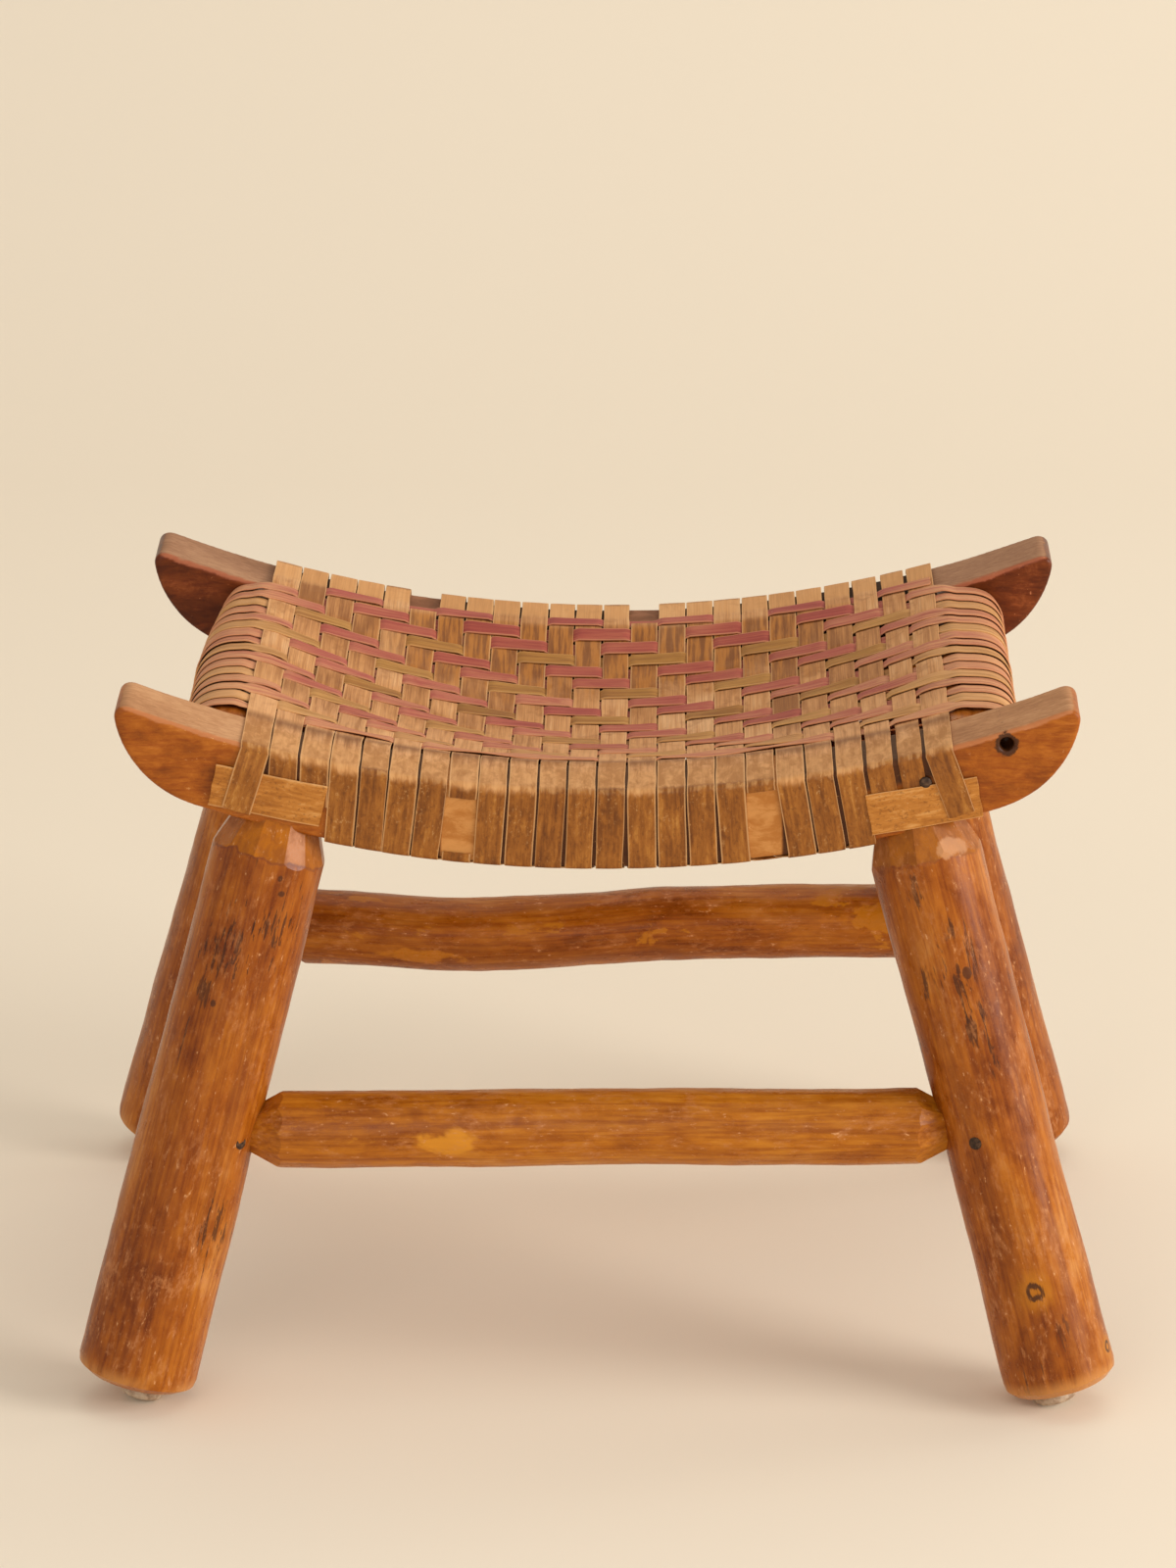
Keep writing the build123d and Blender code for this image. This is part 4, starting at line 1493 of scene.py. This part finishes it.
for index in range(stool["warps"]):
    seed = 20 + index
    chance = random.Random(seed)
    centre = warpX(index) + chance.uniform(-0.0003, 0.0003)
    stations = warpLine(index, seed)
    side = warpSide(index)
    if side < weave["shortWarps"]:
        # short splints end on the faces, because the legs are in the way underneath
        shortEnd, shortSpread = weave["shortEnds"]
        faceEnd = weave["outerEnd"] if side == 0 else shortEnd + shortSpread * chance.random()
        first = next(i for i, s in enumerate(stations) if s["part"] == "frontFace" and s["share"] >= faceEnd)
        last = max(i for i, s in enumerate(stations) if s["part"] == "rearFace" and s["share"] >= faceEnd)
        stations = stations[first : last + 1]
    lean = leans[index] + chance.uniform(-0.0004, 0.0004)
    for station in stations:
        if station["part"] in ("frontFace", "frontLow", "rearFace", "rearLow"):
            run = 1 - station["share"] if "Face" in station["part"] else 1
            station["shift"] = lean * run
        if side == 0 and station["part"] in ("frontFace", "rearFace"):
            station["raised"] = weave["overStrip"] * smoothStep((1 - station["share"]) * 3)

    def follow(station, offset, index=index, centre=centre):
        x = centre + offset
        place = warpPlace(index, station, x)
        place.x += station.get("shift", 0)
        place += Vector(station["out"]) * station.get("raised", 0)
        return place

    for station in stations:
        station["at"] = follow(station, 0)
    splint = {
        "line": stations,
        "follow": follow,
        "width": weave["warpWidth"] + chance.uniform(*weave["warpSpread"]) - narrowed.get(index, 0),
        "seed": seed,
        "tone": chance.random(),
        "uvShift": index * 1.3,
        "ragged": 0.0012,
        "gone": breaks.get(index, []),
    }
    piece = makeSplint("warp_%02d" % index, splint)
    dress(piece, warpWood, "tan_splint", "warp_splint_%02d" % index)
print("warps ready")


def weftLine(row, seed):
    y = weftY(row)
    stations = []
    edge = stool["warpPitch"] * stool["warps"] / 2

    def add(x, z, out, **more):
        stations.append({"x": x, "z": z, "out": out, **more})

    if row == 1:
        # this one lies open on the rear rail
        x = -edge + weave["openInset"]
        while x < edge - weave["openInset"]:
            add(x, None, (0, 0, 1), part="top")
            x += weave["openStep"]
        return stations
    # under the seat to the left, up round the left bar, over the top, down round the right bar, back
    joinX = random.Random(seed).uniform(-weave["weftJoin"], weave["weftJoin"])
    underEnd = weave["underEnd"]
    x = joinX
    while x > -underEnd:
        add(x, None, (0, 0, -1), part="under")
        x -= weave["weftUnderStep"]
    low = saddle(underEnd, stool["underside"]) - weave["underDrop"]
    for side in (-1, 1):
        arc = []
        start = side * underEnd
        bottomX, bottomZ = wrapPoint(side, y, -math.pi / 2, weave["half"])
        for step in range(1, 10):
            share = step / 10
            place = (start + (bottomX - start) * share, low + (bottomZ - low) * share)
            arc.append((*place, (0, 0, -1), 0))
        for step in range(weave["wrapSteps"] + 1):
            angle = -math.pi / 2 + math.pi * step / weave["wrapSteps"]
            out = (side * math.cos(angle), 0, math.sin(angle))
            arc.append((*wrapPoint(side, y, angle, weave["half"]), out, 1))
        topX, topZ = wrapPoint(side, y, math.pi / 2, weave["half"])
        meetX = side * (edge + weave["meetOutset"])
        for step in range(1, 5):
            share = step / 5
            arc.append((topX + (meetX - topX) * share, (topZ, share), (0, 0, 1), 1))
        for px, pz, out, tilted in arc[::-side]:
            add(px, pz, out, part="side", tilted=tilted)
        if side == -1:
            x = -edge
            while x < edge:
                add(x, None, (0, 0, 1), part="top")
                x += weave["weftTopStep"]
    lapEnd, lapStart = (joinX + reach for reach in weave["weftLap"])
    x = underEnd
    while x > lapEnd:
        add(x, None, (0, 0, -1), part="under", deeper=weave["overlap"] if x < lapStart else 0)
        x -= weave["weftUnderStep"]
    return stations


def underWave(row, x):
    return weftWave(row, x) if abs(x) <= weave["underReach"] else 0


for row in range(1, stool["wefts"] + 1):
    seed = 60 + row
    chance = random.Random(seed)
    middleY = weftY(row) + chance.uniform(-0.0004, 0.0004)
    sideTilt = chance.uniform(*weave["sideTilt"])
    stations = weftLine(row, seed)

    def follow(station, offset, row=row, middleY=middleY):
        y = middleY + offset
        x = station["x"]
        onSeat = seatHeight(x, y) + weave["half"] + weave["weftGap"]
        onSeat += weave["weftLift"] * weftWave(row, x)
        if station["part"] == "top":
            z = onSeat
        elif station["part"] == "under":
            z = saddle(x, stool["underside"]) - weave["weftUnderGap"] - station.get("deeper", 0)
            z -= weave["weftLift"] * underWave(row, x)
        elif isinstance(station["z"], tuple):
            topZ, share = station["z"]
            z = topZ + (onSeat - topZ) * smoothStep(share)
        else:
            z = station["z"]
        return Vector((x, y, z))

    for station in stations:
        station["at"] = follow(station, 0)
        if station["part"] == "top":
            station["tilt"] = weftTwist(row, station["x"])
        elif station.get("tilted"):
            station["tilt"] = sideTilt
            station["widen"] = weave["sideWiden"]
    splint = {
        "line": stations,
        "follow": follow,
        "width": weave["weftWidth"] + chance.uniform(*weave["weftSpread"]),
        "seed": seed,
        "tone": chance.random(),
        "uvShift": row * 1.7 + 40,
        "ragged": 0.001,
        "flip": True,
    }
    piece = makeSplint("weft_%02d" % row, splint)
    olive = row in weave["oliveRows"]
    wood, slot = (oliveWood, "olive_splint") if olive else (roseWood, "rose_splint")
    dress(piece, wood, slot, "weft_splint_%02d" % row)
print("wefts ready")


# Corner strips over the short splints, tucked behind the outermost ones

stripShape = {"steps": 24, "bow": 0.0003, "middleX": 0.163, "outset": 0.0009, "tone": 0.62}
strips = {
    "front_left": {"from": -0.2045, "to": -0.1455, "middle": 0.3400, "slope": -0.208, "width": 0.0233},
    "front_right": {"from": 0.1445, "to": 0.2035, "middle": 0.3362, "slope": 0.186, "width": 0.0227},
    "rear_left": {"from": -0.2025, "to": -0.1450, "middle": 0.3385, "slope": -0.200, "width": 0.0230},
    "rear_right": {"from": 0.1450, "to": 0.2025, "middle": 0.3380, "slope": 0.200, "width": 0.0230},
}
stripLook = {
    **tanLook,
    "halfWidth": 0.0116,
    "edgeShare": 0.4,
    "varnish": [
        (0.38, srgb(142, 80, 20)),
        (0.47, srgb(168, 102, 32)),
        (0.55, srgb(188, 120, 46)),
        (0.64, srgb(212, 152, 84)),
    ],
}
stripWood = splintMaterial("stripSplint", stripLook)

for number, (corner, strip) in enumerate(strips.items()):
    direction = -1 if corner.startswith("front") else 1
    face = stool["outer"] + weave["faceGap"] + stripShape["outset"]
    hand = -1 if corner.endswith("left") else 1
    steps = stripShape["steps"]
    stations = []
    for step in range(steps + 1):
        x = strip["from"] + (strip["to"] - strip["from"]) * step / steps
        bow = stripShape["bow"] * math.sin(math.pi * step / steps)
        z = strip["middle"] + strip["slope"] * (x - hand * stripShape["middleX"])
        place = Vector((x, direction * (face + bow), z))
        stations.append({"at": place, "part": "strip", "out": (0, direction, 0)})

    def follow(station, offset, slope=strip["slope"], direction=direction):
        return station["at"] + Vector((-slope, 0, 1)).normalized() * offset * -direction

    splint = {
        "line": stations,
        "follow": follow,
        "width": strip["width"],
        "seed": 90 + number,
        "tone": stripShape["tone"],
        "uvShift": number * 2.1,
        "ragged": 0.0008,
    }
    piece = makeSplint(corner + "_strip", splint)
    dress(piece, stripWood, "tan_splint", corner + "_corner_strip")
print("strips ready")


# Glides and nails keep their own shapes, with the plastic and the dark steel on them

def plainMaterial(name, look):
    made, tree, shader = startMaterial(name)
    place = objectPlace(tree)
    mottle = cloud(tree, place, look["scale"], 5, 0.6, 0.3)
    speck = cloud(tree, place, look["scale"] * 5, 3, 0.7)
    colour = colourRamp(tree, mottle, [(0.36, look["dark"]), (0.52, look["middle"]), (0.68, look["light"])])
    colour = blendColour(tree, remap(tree, speck, 0.62, 0.74, 0, look["speckShare"]), colour, look["speck"])
    feed(tree, shader.inputs["Base Color"], colour)
    feed(tree, shader.inputs["Roughness"], remap(tree, mottle, 0.35, 0.65, *look["gloss"]))
    shader.inputs["Metallic"].default_value = look["metal"]
    bumpUp(tree, shader, speck, 0.3, 0.0002)
    return made


glidePlastic = plainMaterial(
    "glidePlastic",
    {
        "scale": 260,
        "dark": srgb(150, 122, 96),
        "middle": srgb(188, 164, 136),
        "light": srgb(208, 190, 164),
        "speck": srgb(120, 92, 66),
        "speckShare": 0.5,
        "gloss": (0.45, 0.62),
        "metal": 0.0,
    },
)
nailSteel = plainMaterial(
    "nailSteel",
    {
        "scale": 420,
        "dark": srgb(44, 30, 22),
        "middle": srgb(70, 50, 36),
        "light": srgb(104, 78, 58),
        "speck": srgb(122, 70, 40),
        "speckShare": 0.6,
        "gloss": (0.4, 0.6),
        "metal": 0.6,
    },
)
for corner in ("front_left", "front_right", "rear_left", "rear_right"):
    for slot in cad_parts[corner + "_glide"].material_slots:
        slot.material = glidePlastic
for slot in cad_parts["nails"].material_slots:
    slot.material = nailSteel

# A nail head, half hidden by the right-hand strip

nailHead = {"radius": 0.0034, "flatness": 0.42, "back": 0.0004, "place": (0.1745, -0.1637, 0.3512)}

clearSelection()
bpy.ops.mesh.primitive_uv_sphere_add(segments=24, ring_count=12, radius=nailHead["radius"])
tack = bpy.context.object
tack.name = "strip_nail"
bpy.ops.object.mode_set(mode="EDIT")
bpy.ops.mesh.select_all(action="SELECT")
bpy.ops.transform.resize(value=(1, nailHead["flatness"], 1))
bpy.ops.mesh.bisect(plane_co=(0, nailHead["back"], 0), plane_no=(0, 1, 0), use_fill=True, clear_outer=True)
bpy.ops.mesh.select_all(action="SELECT")
bpy.ops.transform.translate(value=nailHead["place"])
bpy.ops.object.mode_set(mode="OBJECT")
smoothShade(tack, 35)
dress(tack, nailSteel, "nail_steel")
print("small parts ready")
